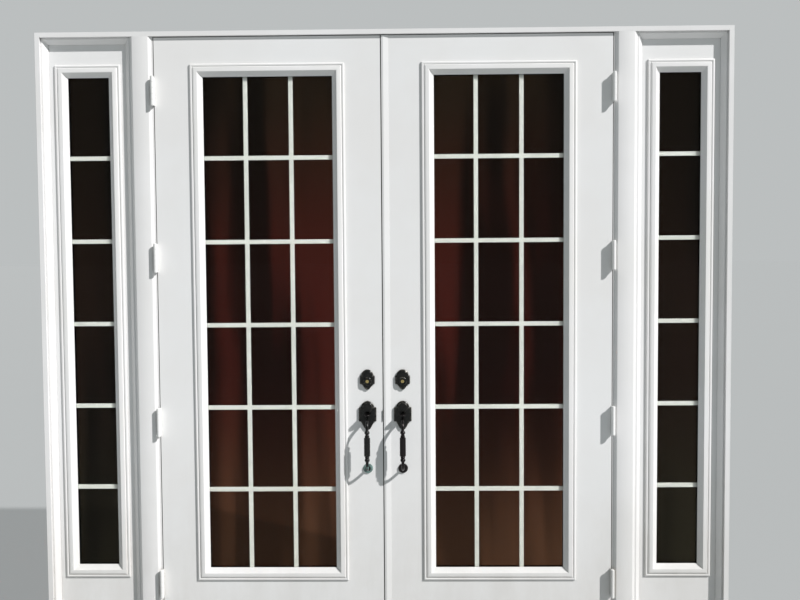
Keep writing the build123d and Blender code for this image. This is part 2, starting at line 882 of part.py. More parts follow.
# Outside trim, the same on both leaves
def ornate_outline(width, body, dome, top, bottom, foot_width, foot_radius):
    """Plate outline: domed top, notched shoulders, straight sides, tapered round foot."""
    with BuildSketch(mode=Mode.PRIVATE) as foot:
        with Locations((0, -body / 2)):
            Rectangle(foot_width, plate_corner)
        with Locations((0, -bottom + foot_radius)):
            Circle(foot_radius)
        make_hull()
    with BuildSketch(mode=Mode.PRIVATE) as outline:
        RectangleRounded(width, body, plate_corner)
        with Locations((0, top - dome)):
            Circle(dome)
        add(foot.sketch)
    return outline.sketch


def ornate_plate(x, z, thickness, edge, outline):
    """Plate on the outer face of a leaf with a chamfered rim."""
    for level, amount, taper in ((0, thickness - edge, 0), (thickness - edge, edge, 45)):
        with BuildSketch(Plane.XZ.offset(level)) as layer:
            with Locations((x, z)):
                add(outline)
        extrude(layer.sketch, amount=amount, taper=taper)


def thumb_pin(x, radius):
    """Disc for the thumbpiece's cross pin, at one end of it."""
    with BuildSketch(Plane.YZ.offset(x - thumb_pin_length / 2)) as pin:
        with Locations((-thumb_pin_y, thumb_z)):
            Circle(radius)
    return pin.sketch


def handle_plate(x):
    """Plate with its round boss, the slot for the thumbpiece and the bores for its pin."""
    with BuildPart() as plate:
        outline = ornate_outline(
            plate_width, plate_body, plate_dome, plate_top, plate_bottom, plate_foot_width, plate_foot_radius
        )
        ornate_plate(x, plate_z, plate_thickness, plate_chamfer, outline)
        with BuildSketch(Plane.XZ):
            with Locations((x, plate_z + plate_top - plate_dome)):
                Circle(boss_radius)
        extrude(amount=boss_thickness, taper=boss_taper)
        slot_half = thumb_arm / 2 + thumb_side_clearance
        slot_rise = thumb_gauge + thumb_slot_clearance
        box_between(
            (x - slot_half, -boss_thickness, thumb_z - slot_rise),
            (x + slot_half, 0, thumb_z + slot_rise),
            Mode.SUBTRACT,
        )
        bore = thumb_pin(x, thumb_pin_radius + thumb_pin_clearance)
        extrude(bore, amount=thumb_pin_length, mode=Mode.SUBTRACT)
    return plate


def thumbpiece(x):
    """Thumb pad outside, arm through the plate into the lock, and the pin that it turns on."""
    half = thumb_width / 2
    arm = thumb_arm / 2
    shoulder = -boss_thickness - thumb_shoulder
    crown = -thumb_reach + thumb_crown
    with BuildPart() as piece:
        with BuildSketch(Plane.XY.offset(thumb_z - thumb_gauge / 2)):
            with BuildLine():
                Polyline(
                    (x - arm, leaf_middle / 2),
                    (x - arm, -boss_thickness),
                    (x - half, shoulder),
                    (x - half, crown),
                )
                ThreePointArc((x - half, crown), (x, -thumb_reach), (x + half, crown))
                Polyline(
                    (x + half, crown),
                    (x + half, shoulder),
                    (x + arm, -boss_thickness),
                    (x + arm, leaf_middle / 2),
                    (x - arm, leaf_middle / 2),
                )
            make_face()
        extrude(amount=thumb_gauge)
        fillet(piece.edges().filter_by(GeomType.CIRCLE), thumb_round)
        pin = thumb_pin(x + running_gap, thumb_pin_radius)
        extrude(pin, amount=thumb_pin_length - 2 * running_gap)
    return piece


def deadbolt_rose(x):
    """Rose with the lock cylinder's tapered housing, bored for the key plug."""
    with BuildPart() as rose:
        outline = ornate_outline(
            rose_width, rose_body, rose_dome, rose_top, rose_bottom, rose_foot_width, rose_foot_radius
        )
        ornate_plate(x, rose_z, rose_thickness, plate_chamfer, outline)
        housing = math.degrees(math.atan2(cylinder_radius - cylinder_nose_radius, cylinder_proud))
        with BuildSketch(Plane.XZ):
            with Locations((x, deadbolt_z)):
                Circle(cylinder_radius)
        extrude(amount=cylinder_proud, taper=housing)
        with BuildSketch(Plane.XZ):
            with Locations((x, deadbolt_z)):
                Circle(key_plug_radius + key_plug_clearance)
        extrude(amount=cylinder_proud, mode=Mode.SUBTRACT)
    return rose


def key_plug(x):
    """Round plug with a keyway."""
    with BuildPart() as plug:
        with BuildSketch(Plane.XZ.offset(cylinder_proud + running_gap)):
            with Locations((x, deadbolt_z)):
                Circle(key_plug_radius)
        extrude(amount=-cylinder_proud - running_gap)
        with BuildSketch(Plane.XZ.offset(cylinder_proud + running_gap)):
            with Locations((x, deadbolt_z)):
                Rectangle(keyway_width, keyway_height)
        extrude(amount=-keyway_depth, mode=Mode.SUBTRACT)
    return plug


def grip(x):
    """Bowed grip: gooseneck out of the plate, turned bar, and a foot back to a round base."""
    bar_axis = grip_standoff
    ring_start = grip_body_top - grip_shoulder - 2 * ring_slope - ring_length
    bead_end = ring_start - collar_length
    neck_end = bead_end - bead_length - collar_step
    body_end = grip_body_top + grip_body_length
    low_ring = body_end + grip_shoulder
    low_bead = low_ring + 2 * ring_slope + ring_length
    post_top = foot_drop - post_start
    side = Plane(origin=(x, 0, plate_z), x_dir=(0, -1, 0), z_dir=(1, 0, 0))
    with BuildPart() as bar:
        with BuildLine(side) as neck:
            Bezier(
                (plate_thickness, neck_start),
                (bar_axis * 0.75, neck_start),
                (bar_axis, neck_start + neck_bend),
                (bar_axis, neck_end),
            )
        with BuildSketch(Plane(origin=neck.line @ 0, z_dir=neck.line % 0)):
            Circle(neck_radius)
        sweep()
        with BuildLine(side) as tail:
            Bezier(
                (bar_axis, post_top),
                (bar_axis, post_top + post_start * 0.65),
                (bar_axis * 0.7, foot_drop),
                (foot_thickness - plate_corner, foot_drop),
            )
        with BuildSketch(Plane(origin=tail.line @ 0, z_dir=tail.line % 0)):
            Circle(post_radius)
        sweep(path=tail.line)
        with BuildSketch(side):
            with BuildLine():
                Polyline(
                    (bar_axis, neck_end),
                    (bar_axis - neck_radius, neck_end),
                    (bar_axis - collar_radius, neck_end + collar_step),
                )
                ThreePointArc(
                    (bar_axis - collar_radius, neck_end + collar_step),
                    (bar_axis - bead_radius, bead_end - bead_length / 2),
                    (bar_axis - collar_radius, bead_end),
                )
                Polyline(
                    (bar_axis - collar_radius, bead_end),
                    (bar_axis - collar_radius, ring_start),
                    (bar_axis - ring_radius, ring_start + ring_slope),
                    (bar_axis - ring_radius, ring_start + ring_slope + ring_length),
                    (bar_axis - shoulder_radius, grip_body_top - grip_shoulder),
                    (bar_axis - grip_radius, grip_body_top),
                    (bar_axis - grip_radius, body_end),
                    (bar_axis - shoulder_radius, low_ring),
                    (bar_axis - ring_radius, low_ring + ring_slope),
                    (bar_axis - ring_radius, low_ring + ring_slope + ring_length),
                    (bar_axis - collar_radius, low_bead),
                )
                ThreePointArc(
                    (bar_axis - collar_radius, low_bead),
                    (bar_axis - bead_radius, low_bead + bead_length / 2),
                    (bar_axis - collar_radius, low_bead + bead_length),
                )
                Polyline(
                    (bar_axis - collar_radius, low_bead + bead_length),
                    (bar_axis - post_radius, post_top),
                    (bar_axis, post_top),
                    (bar_axis, neck_end),
                )
            make_face()
        revolve(axis=Axis((x, -bar_axis, 0), (0, 0, 1)))
        with BuildSketch(Plane.XZ):
            with Locations((x, plate_z - foot_drop)):
                Circle(foot_radius)
        extrude(amount=foot_thickness, taper=20)
    return bar


left_handle_plate = handle_plate(-lock_x)
right_handle_plate = handle_plate(lock_x)
left_thumbpiece = thumbpiece(-lock_x)
right_thumbpiece = thumbpiece(lock_x)
left_deadbolt_rose = deadbolt_rose(-lock_x)
right_deadbolt_rose = deadbolt_rose(lock_x)
left_key_plug = key_plug(-lock_x)
right_key_plug = key_plug(lock_x)
left_grip = grip(-lock_x)
right_grip = grip(lock_x)


# Inside trim
def inside_plates(x):
    """Two round roses on the inner face of a leaf."""
    with BuildPart() as plates:
        for z in (latch_z, deadbolt_z):
            with BuildSketch(Plane.XZ.offset(-leaf_thickness)):
                with Locations((x, z)):
                    Circle(inside_rose_radius)
            extrude(amount=-inside_rose_thickness, taper=20)
    return plates


def inside_knob(x):
    """Round turned knob on its neck."""
    base = leaf_thickness + inside_rose_thickness + running_gap
    side = Plane(origin=(x, base, latch_z), x_dir=(0, 1, 0), z_dir=(-1, 0, 0))
    with BuildPart() as knob:
        with BuildSketch(side):
            with BuildLine():
                Polyline(
                    (0, 0),
                    (0, knob_neck_radius + knob_flare),
                    (knob_flare, knob_neck_radius),
                    (knob_neck_length, knob_neck_radius),
                )
                ThreePointArc(
                    (knob_neck_length, knob_neck_radius),
                    (knob_neck_length + knob_belly, knob_radius),
                    (knob_reach, knob_neck_radius),
                )
                Polyline((knob_reach, knob_neck_radius), (knob_reach, 0), (0, 0))
            make_face()
        revolve(axis=Axis((x, base, latch_z), (0, 1, 0)))
    return knob


left_inside_plates = inside_plates(-lock_x)
right_inside_plates = inside_plates(lock_x)
left_inside_knob = inside_knob(-lock_x)
right_inside_knob = inside_knob(lock_x)

with BuildPart() as left_thumbturn:
    base = leaf_thickness + inside_rose_thickness + running_gap
    with BuildSketch(Plane.XZ.offset(-base)):
        with Locations((-lock_x, deadbolt_z)):
            Circle(thumbturn_collar_radius)
    extrude(amount=-thumbturn_collar)
    with BuildSketch(Plane.XZ.offset(-base - thumbturn_collar)):
        with Locations((-lock_x, deadbolt_z)):
            SlotOverall(thumbturn_length, thumbturn_width, rotation=90)
    extrude(amount=-thumbturn_blade, taper=6)

# Weatherstrip in the stops: a bulb against each slab's inner face and a barb in the kerf
seal_start = leaf_thickness + seal_clearance
barb_end = door_rabbet + kerf_depth - seal_clearance
with BuildPart() as door_weatherstrip:
    for side in (-1, 1):
        stop = side * (door_side - jamb_stop)
        inner, outer = sorted((stop, stop + side * seal_width))
        box_between((inner, seal_start, riser_height), (outer, door_rabbet, head_under - jamb_stop))
        kerf = stop + side * seal_width / 2
        inner, outer = sorted((kerf + side * seal_clearance, kerf + side * (kerf_width - seal_clearance)))
        box_between((inner, door_rabbet, riser_height), (outer, barb_end, head_under - jamb_stop))
    head_stop = head_under - jamb_stop
    box_between(
        (-door_side + jamb_stop, seal_start, head_stop),
        (door_side - jamb_stop, door_rabbet, head_stop + seal_width),
    )
    box_between(
        (-door_side + jamb_stop, door_rabbet, head_stop + seal_width / 2 + seal_clearance),
        (door_side - jamb_stop, barb_end, head_stop + seal_width / 2 + kerf_width - seal_clearance),
    )
    box_between(
        (-door_side + jamb_stop + seal_width, seal_start, riser_height - seal_width),
        (door_side - jamb_stop - seal_width, door_rabbet, riser_height),
    )

# Seal on the edge of the astragal, between the strikes
with BuildPart() as astragal_seal:
    seal_y = leaf_thickness - kerf_depth
    box_between(
        (-astragal_edge - astragal_seal_proud, seal_y, leaf_bottom),
        (-astragal_edge, seal_y + kerf_width, leaf_top),
    )

pieces = {
    "sill_base": sill_base,
    "sill_deck": sill_deck,
    "sill_riser": sill_riser,
    "head_jamb": head_jamb,
    "side_jambs": side_jambs,
    "frame_stops": frame_stops,
    "left_mull_post": left_mull_post,
    "right_mull_post": right_mull_post,
    "mull_casings": mull_casings,
    "sidelite_stops": sidelite_stops,
    "door_weatherstrip": door_weatherstrip,
    "left_sidelite_panel": left_sidelite_panel,
    "left_sidelite_glass": left_sidelite_glass,
    "left_sidelite_grille": left_sidelite_grille,
    "left_sidelite_outer_frame": left_sidelite_outer_frame,
    "left_sidelite_inner_frame": left_sidelite_inner_frame,
    "right_sidelite_panel": right_sidelite_panel,
    "right_sidelite_glass": right_sidelite_glass,
    "right_sidelite_grille": right_sidelite_grille,
    "right_sidelite_outer_frame": right_sidelite_outer_frame,
    "right_sidelite_inner_frame": right_sidelite_inner_frame,
    "frame_hinge_leaves": frame_hinge_leaves,
    "hinge_pins": hinge_pins,
    "left_slab": left_slab,
    "left_door_glass": left_door_glass,
    "left_door_grille": left_door_grille,
    "left_outer_lite_frame": left_outer_lite_frame,
    "left_inner_lite_frame": left_inner_lite_frame,
    "left_door_hinge_leaves": left_door_hinge_leaves,
    "left_sweep": left_sweep,
    "left_handle_plate": left_handle_plate,
    "left_grip": left_grip,
    "left_thumbpiece": left_thumbpiece,
    "left_deadbolt_rose": left_deadbolt_rose,
    "left_key_plug": left_key_plug,
    "left_inside_plates": left_inside_plates,
    "left_inside_knob": left_inside_knob,
    "left_thumbturn": left_thumbturn,
    "left_lock_cases": left_lock_cases,
    "latch_bolt": latch_bolt,
    "deadbolt": deadbolt,
    "right_slab": right_slab,
    "right_door_glass": right_door_glass,
    "right_door_grille": right_door_grille,
    "right_outer_lite_frame": right_outer_lite_frame,
    "right_inner_lite_frame": right_inner_lite_frame,
    "right_door_hinge_leaves": right_door_hinge_leaves,
    "right_sweep": right_sweep,
    "right_handle_plate": right_handle_plate,
    "right_grip": right_grip,
    "right_thumbpiece": right_thumbpiece,
    "right_deadbolt_rose": right_deadbolt_rose,
    "right_key_plug": right_key_plug,
    "right_inside_plates": right_inside_plates,
    "right_inside_knob": right_inside_knob,
    "astragal": astragal,
    "astragal_seal": astragal_seal,
    "astragal_strikes": astragal_strikes,
    "astragal_top_bolt": astragal_top_bolt,
    "astragal_bottom_bolt": astragal_bottom_bolt,
}
os.makedirs("parts", exist_ok=True)
for name, piece in pieces.items():
    piece.part.label = name
    export_step(piece.part, f"parts/{name}.step")
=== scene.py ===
import json
import logging
import math
from dataclasses import dataclass, field
from enum import Enum
from typing import Sequence

import bpy
import numpy as np
from mathutils import Matrix, Vector


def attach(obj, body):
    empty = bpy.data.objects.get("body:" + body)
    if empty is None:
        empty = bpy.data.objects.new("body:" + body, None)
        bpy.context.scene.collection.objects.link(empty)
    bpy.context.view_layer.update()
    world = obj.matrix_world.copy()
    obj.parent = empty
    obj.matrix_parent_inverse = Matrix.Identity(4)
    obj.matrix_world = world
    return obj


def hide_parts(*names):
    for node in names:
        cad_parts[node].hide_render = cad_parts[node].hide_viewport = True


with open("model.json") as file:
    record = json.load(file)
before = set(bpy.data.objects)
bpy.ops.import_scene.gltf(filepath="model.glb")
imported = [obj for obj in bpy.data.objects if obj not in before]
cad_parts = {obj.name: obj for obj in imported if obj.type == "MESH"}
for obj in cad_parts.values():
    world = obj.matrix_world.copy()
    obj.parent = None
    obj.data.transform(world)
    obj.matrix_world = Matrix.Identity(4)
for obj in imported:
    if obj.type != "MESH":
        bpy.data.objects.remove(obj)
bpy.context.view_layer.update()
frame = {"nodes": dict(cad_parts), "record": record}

# Double patio doors with two sidelites. Metres; X along the unit, +Y from outside to inside, +Z up.

Colour = tuple[float, float, float]
Point = tuple[float, float, float]
Pairs = Sequence[tuple[float, float]]
Socket = bpy.types.NodeSocket
log = logging.getLogger("patio_doors")


class Ends(Enum):
    """How the first and last ring of a lofted surface are closed."""

    CAPPED = "flat faces"
    LOOPED = "joined to each other"


class Side(Enum):
    """Left or right of the line between the two leaves, as the sign of X."""

    LEFT = -1
    RIGHT = 1

    def named(self, stem: str) -> str:
        """The stem with the side's own word before it."""
        return f"{self.name.lower()}_{stem}"


class Grain(Enum):
    """Which way the brush marks or drawing lines of a finish run, as noise stretch per axis."""

    NONE = (1.0, 1.0, 1.0)
    UPRIGHT = (1.0, 1.0, 0.03)
    LEVEL = (0.03, 1.0, 1.0)


class Hollow(Enum):
    """Shaded place: reach in metres, samples, and the openness where the shade starts and is full."""

    CORNER = (0.02, 4, 0.95, 0.35)
    JOINT = (0.014, 6, 0.47, 0.22)


class Patina(Enum):
    """Weathering of the dark bronze."""

    WORN = "rubbed edges"
    VERDIGRIS = "green bloom on the foot"


def tone(red: float, green: float, blue: float) -> Colour:
    """Linear colour of a screen colour given in 0 to 255.

    Args:
        red: Its red part, 0 to 255.
        green: Its green part.
        blue: Its blue part.

    Returns:
        The same colour in linear light, each part 0 to 1.
    """
    share = np.array([red, green, blue]) / 255.0
    linear = np.where(share <= 0.04045, share / 12.92, ((share + 0.055) / 1.055) ** 2.4)
    return tuple(float(v) for v in linear)


# Surfaces


# Signs of a rectangle's corners, in order round it.
CORNERS = np.array([[-1, -1], [1, -1], [1, 1], [-1, 1]], float)


@dataclass(frozen=True)
class Skin:
    """Closed surface held as arrays: points, four-cornered faces and flat end faces."""

    points: np.ndarray
    quads: np.ndarray
    caps: tuple[np.ndarray, ...] = ()

    def volume(self) -> float:
        """Signed volume: the sum of the triangle fans' triple products over six.

        Returns:
            Cubic metres, negative when the faces point inwards.
        """
        p, q = self.points, self.quads
        total = 0.0
        for b, c in ((1, 2), (2, 3)):
            total += np.einsum("ij,ij->i", p[q[:, 0]], np.cross(p[q[:, b]], p[q[:, c]])).sum()
        for cap in self.caps:
            total += (np.cross(p[cap[1:-1]], p[cap[2:]]) @ p[cap[0]]).sum()
        return float(total) / 6.0

    def outward(self) -> "Skin":
        """The same surface with its faces pointing out of the solid.

        Returns:
            The surface itself, or one with every face's corners in reverse order.
        """
        if self.volume() >= 0:
            return self
        return Skin(self.points, self.quads[:, ::-1], tuple(c[::-1] for c in self.caps))

    def mirrored(self) -> "Skin":
        """A copy on the other side of the plane X = 0, facing outwards."""
        return Skin(self.points * np.array([-1.0, 1.0, 1.0]), self.quads, self.caps).outward()


def together(skins: Sequence[Skin]) -> Skin:
    """One surface of several closed ones, with the corner numbers of each shifted past the last.

    Args:
        skins: Closed surfaces.

    Returns:
        All of them in one set of arrays.
    """
    starts = np.cumsum([0] + [len(s.points) for s in skins[:-1]])
    return Skin(
        np.concatenate([s.points for s in skins]),
        np.concatenate([s.quads + n for s, n in zip(skins, starts)]),
        tuple(c + n for s, n in zip(skins, starts) for c in s.caps),
    )


def loft(rings: np.ndarray, ends: Ends = Ends.CAPPED) -> Skin:
    """Skin a stack of closed point rings.

    Point j of ring i, point j + 1 of ring i, and the same two of ring i + 1 make one face.

    Args:
        rings: Array of rings x points x 3.
        ends: Whether the stack is capped with flat faces or joined into a loop.

    Returns:
        The closed surface, facing outwards.
    """
    count, around = rings.shape[:2]
    i = np.arange(count if ends is Ends.LOOPED else count - 1)[:, None]
    j = np.arange(around)[None, :]
    near, far, step = i * around, ((i + 1) % count) * around, (j + 1) % around
    quads = np.stack([near + j, near + step, far + step, far + j], axis=-1).reshape(-1, 4)
    caps: tuple[np.ndarray, ...] = ()
    if ends is Ends.CAPPED:
        caps = (np.arange(around)[::-1], np.arange(around) + (count - 1) * around)
    return Skin(rings.reshape(-1, 3), quads, caps).outward()


def arc(start: Sequence[float], middle: Sequence[float], end: Sequence[float], steps: int) -> np.ndarray:
    """Points on the circle through three points, evenly spaced by angle from start to end.

    The centre is where the perpendicular bisectors of the two chords meet.

    Args:
        start: First point.
        middle: A point on the way, which picks the side.
        end: Last point.
        steps: How many points the arc gets.

    Returns:
        The points, steps x 2.
    """
    a, b, c = (np.array(v, float) for v in (start, middle, end))
    d = 2 * (a[0] * (b[1] - c[1]) + b[0] * (c[1] - a[1]) + c[0] * (a[1] - b[1]))
    aa, bb, cc = (float(v @ v) for v in (a, b, c))
    centre = np.array([
        (aa * (b[1] - c[1]) + bb * (c[1] - a[1]) + cc * (a[1] - b[1])) / d,
        (aa * (c[0] - b[0]) + bb * (a[0] - c[0]) + cc * (b[0] - a[0])) / d,
    ])
    angles = [math.atan2(*(v - centre)[::-1]) for v in (a, b, c)]
    sweep = (angles[2] - angles[0]) % (2 * math.pi)
    if (angles[1] - angles[0]) % (2 * math.pi) > sweep:
        sweep -= 2 * math.pi
    turn = angles[0] + sweep * np.linspace(0, 1, steps)
    return centre + np.linalg.norm(a - centre) * np.stack([np.cos(turn), np.sin(turn)], axis=-1)


def ease(start: Sequence[float], end: Sequence[float], lean: float, steps: int) -> np.ndarray:
    """S-shaped line between two points: the second value follows a smooth step of the first.

    Args:
        start: First point of the line.
        end: Last point of the line.
        lean: How far the S departs from the straight line, 0 to 1.
        steps: How many points it gets.

    Returns:
        The points, both ends included.
    """
    t = np.linspace(0, 1, steps)
    smooth = t * t * (3 - 2 * t)
    rise = (1 - lean) * t + lean * smooth
    a, b = np.array(start, float), np.array(end, float)
    return np.stack([a[0] + (b[0] - a[0]) * t, a[1] + (b[1] - a[1]) * rise], axis=-1)


def corner_ring(
    profile: np.ndarray, centre: Sequence[float], half: Sequence[float], face_y: float, outward: int
) -> Skin:
    """Moulding carried round a rectangle with mitred corners.

    A profile point is (inset from the outer edge, height over the face): at each corner it lies
    inset from both outer edges, and outward times height away from the face along Y.

    Args:
        profile: Closed profile, points x 2.
        centre: X and Z of the middle of the rectangle.
        half: Half the outer width and height.
        face_y: Y of the face that the moulding lies on.
        outward: -1 when it stands out towards -Y, 1 towards +Y.

    Returns:
        The closed ring.
    """
    inset, height = profile[:, 0], profile[:, 1]
    x = centre[0] + CORNERS[:, :1] * (half[0] - inset)[None, :]
    z = centre[1] + CORNERS[:, 1:] * (half[1] - inset)[None, :]
    y = np.broadcast_to(face_y + outward * height, x.shape)
    return loft(np.stack([x, y, z], axis=-1), Ends.LOOPED)


def arrised_box(low: Point, high: Point, arris: float, along: int = 1) -> Skin:
    """Block with its four long edges taken off by a small flat, as sheet goods and glass have.

    Args:
        low: Lowest corner.
        high: Highest corner.
        arris: Width of the flat.
        along: The axis that the rings are stacked on, 0 to 2.

    Returns:
        The closed block.
    """
    lo, hi = np.array(low, float), np.array(high, float)
    a, b = [k for k in range(3) if k != along]
    levels = [(lo[along], arris), (lo[along] + arris, 0.0), (hi[along] - arris, 0.0), (hi[along], arris)]
    rings = np.zeros((len(levels), 4, 3))
    for n, (level, inset) in enumerate(levels):
        rings[n, :, along] = level
        rings[n, :, a] = np.where(CORNERS[:, 0] > 0, hi[a] - inset, lo[a] + inset)
        rings[n, :, b] = np.where(CORNERS[:, 1] > 0, hi[b] - inset, lo[b] + inset)
    return loft(rings)


def lathe(profile: np.ndarray, origin: Point, axis: Point, segments: int) -> Skin:
    """Surface turned round an axis: ring k has radius profile[k, 0] at distance profile[k, 1].

    A ring's point is the axis point plus radius times (cos, sin) of its turn, across the axis.

    Args:
        profile: Radius and distance along the axis of each ring.
        origin: Where the axis starts.
        axis: Its direction.
        segments: Points round each ring.

    Returns:
        The closed surface, with flat ends.
    """
    along = Vector(axis).normalized()
    first = along.orthogonal().normalized()
    second = along.cross(first)
    turn = np.linspace(0, 2 * math.pi, segments, endpoint=False)
    circle = np.cos(turn)[:, None] * np.array(first) + np.sin(turn)[:, None] * np.array(second)
    middle = np.array(origin) + profile[:, 1:2] * np.array(along)
    return loft(middle[:, None, :] + profile[:, 0][:, None, None] * circle[None])


def run_up(profile: np.ndarray, low: np.ndarray, high: float) -> Skin:
    """Moulding that runs straight up: each profile point (x, y) goes from its own low Z to high.

    Args:
        profile: Closed section, X and Y of each point.
        low: Z at which each point starts.
        high: Z at which all of them end.

    Returns:
        The closed moulding.
    """
    foot = np.concatenate([profile, low[:, None]], axis=1)
    head = np.concatenate([profile, np.full((len(profile), 1), high)], axis=1)
    return loft(np.stack([foot, head]))


# Finishes


# Cosine between a surface and its flat, from where wear starts to where it is full.
TILT = (0.97, 0.72)
EDGE = (0.99, 0.80)


@dataclass
class Recipe:
    """Node tree of a material or of the world, written in short calls from an empty tree on."""

    owner: bpy.types.Material | bpy.types.World

    def __post_init__(self) -> None:
        """Empty the owner's tree."""
        self.owner.use_nodes = True
        self.owner.node_tree.nodes.clear()

    def node(self, kind: str, **options: object) -> bpy.types.Node:
        """Add a node of the type ShaderNode + kind and set its options.

        Args:
            kind: Type of the node, without ShaderNode.
            options: The node's own settings.

        Returns:
            The node.
        """
        made = self.owner.node_tree.nodes.new(f"ShaderNode{kind}")
        for name, value in options.items():
            setattr(made, name, value)
        return made

    def feed(self, target: Socket, value: object) -> None:
        """Give a socket a constant or the output of another node.

        Args:
            target: The input to fill.
            value: A number, a colour, a vector or another node's output.
        """
        if isinstance(value, Socket):
            self.owner.node_tree.links.new(value, target)
        elif isinstance(value, tuple) and len(value) == 3 and target.type == "RGBA":
            target.default_value = (*value, 1.0)
        else:
            target.default_value = value

    def step(self, kind: str, output: str | int, fed: dict[str | int, object], **options: object) -> Socket:
        """Add a node, feed its sockets and give back one of its outputs.

        Args:
            kind: Type of the node, without ShaderNode.
            output: Name or number of the output that is wanted.
            fed: Constants and other nodes' outputs, by name or number of the input.
            options: The node's own settings.

        Returns:
            The output.
        """
        made = self.node(kind, **options)
        for place, value in fed.items():
            self.feed(made.inputs[place], value)
        return made.outputs[output]

    def spot(self, stretch: Point = (1.0, 1.0, 1.0), shift: Point = (0.0, 0.0, 0.0)) -> Socket:
        """Object coordinates, stretched per axis and then shifted."""
        here = self.node("TexCoord").outputs["Object"]
        return self.step("Mapping", "Vector", {"Vector": here, "Location": shift, "Scale": stretch})

    def axis(self, name: str) -> Socket:
        """One of the object coordinates X, Y and Z."""
        return self.step("SeparateXYZ", name, {"Vector": self.spot()})

    def away_from(self, x: float, z: float) -> Socket:
        """Distance in metres from the line through x and z that runs along Y."""
        off = self.spot((1.0, 0.0, 1.0), (-x, 0.0, -z))
        return self.step("VectorMath", "Value", {0: off}, operation="LENGTH")

    def noise(
        self, scale: float, detail: float = 3.0, rough: float = 0.5, stretch: Point = (1.0, 1.0, 1.0)
    ) -> Socket:
        """Fractal noise, scale in waves per metre before the stretch."""
        fed = {"Vector": self.spot(stretch), "Scale": scale, "Detail": detail, "Roughness": rough}
        return self.step("TexNoise", "Fac", fed)

    def span(self, value: Socket, low: float, high: float, to: tuple[float, float] = (0.0, 1.0)) -> Socket:
        """Map low..high to the given range, clamped, with a smooth step."""
        fed = {"Value": value, "From Min": low, "From Max": high, "To Min": to[0], "To Max": to[1]}
        return self.step("MapRange", "Result", fed, interpolation_type="SMOOTHSTEP")

    def combine(self, kind: str, first: object, second: object) -> Socket:
        """One arithmetic step, such as ADD or MULTIPLY."""
        return self.step("Math", 0, {0: first, 1: second}, operation=kind)

    def product(self, first: Socket, *others: object) -> Socket:
        """All the values multiplied, from left to right.

        Args:
            first: The first factor.
            others: The rest, numbers or other nodes' outputs.

        Returns:
            Output of the last multiplication.
        """
        whole = first
        for value in others:
            whole = self.combine("MULTIPLY", whole, value)
        return whole

    def tint(self, share: object, first: object, second: object) -> Socket:
        """Mix two colours, whose inputs on the node are the numbers 6 and 7."""
        return self.step("Mix", 2, {0: share, 6: first, 7: second}, data_type="RGBA")

    def bump(self, height: Socket, depth: float, normal: Socket) -> Socket:
        """Normal of a relief on another normal, whose full height is depth metres."""
        fed = {"Height": height, "Strength": 1.0, "Distance": depth, "Normal": normal}
        return self.step("Bump", "Normal", fed)

    def soft_edge(self, radius: float) -> Socket:
        """Normal with the hard edges of a piece rounded over."""
        return self.step("Bevel", "Normal", {"Radius": radius}, samples=4)

    def hollow(self, kind: Hollow) -> Socket:
        """1 in the given kind of shaded place, 0 on open faces.

        Args:
            kind: Which kind, with its reach and limits.

        Returns:
            Output with the share of shade.
        """
        reach, samples, start, full = kind.value
        openness = self.step("AmbientOcclusion", "AO", {"Distance": reach}, samples=samples)
        return self.span(openness, start, full)

    def tilted(self) -> Socket:
        """1 where a cast surface turns away from its flat front and back, 0 on the flats.

        Returns:
            Output with the share of tilt.
        """
        normal = self.node("TexCoord").outputs["Normal"]
        facing = self.step("SeparateXYZ", "Y", {"Vector": normal})
        return self.span(self.combine("ABSOLUTE", facing, 0.0), *TILT)

    def worn_edge(self, radius: float) -> Socket:
        """1 along convex and concave edges, 0 on flats: the soft normal against the true one."""
        fed = {0: self.soft_edge(radius), 1: self.node("NewGeometry").outputs["Normal"]}
        return self.span(self.step("VectorMath", "Value", fed, operation="DOT_PRODUCT"), *EDGE)

    def shape(self, **values: object) -> Socket:
        """The main shader with its sockets set by name, with _ for a space."""
        fed = {name.replace("_", " "): value for name, value in values.items()}
        return self.step("BsdfPrincipled", "BSDF", fed)

    def show(self, kind: str, surface: Socket) -> None:
        """Put a shader on the tree's output, whose kind is Material or World."""
        self.feed(self.node(f"Output{kind}").inputs["Surface"], surface)


@dataclass(frozen=True)
class Finish:
    """A finish that can be put on a piece."""

    name: str

    def material(self) -> bpy.types.Material:
        """The finish's material, made at its first use.

        Returns:
            The material, one for all pieces with this finish.
        """
        found = bpy.data.materials.get(self.name)
        if found is None:
            found = bpy.data.materials.new(self.name)
            recipe = Recipe(found)
            recipe.show("Material", self.dress(recipe))
        return found

    def dress(self, recipe: Recipe) -> Socket:
        """Write the finish's nodes and give back its shader."""
        raise NotImplementedError


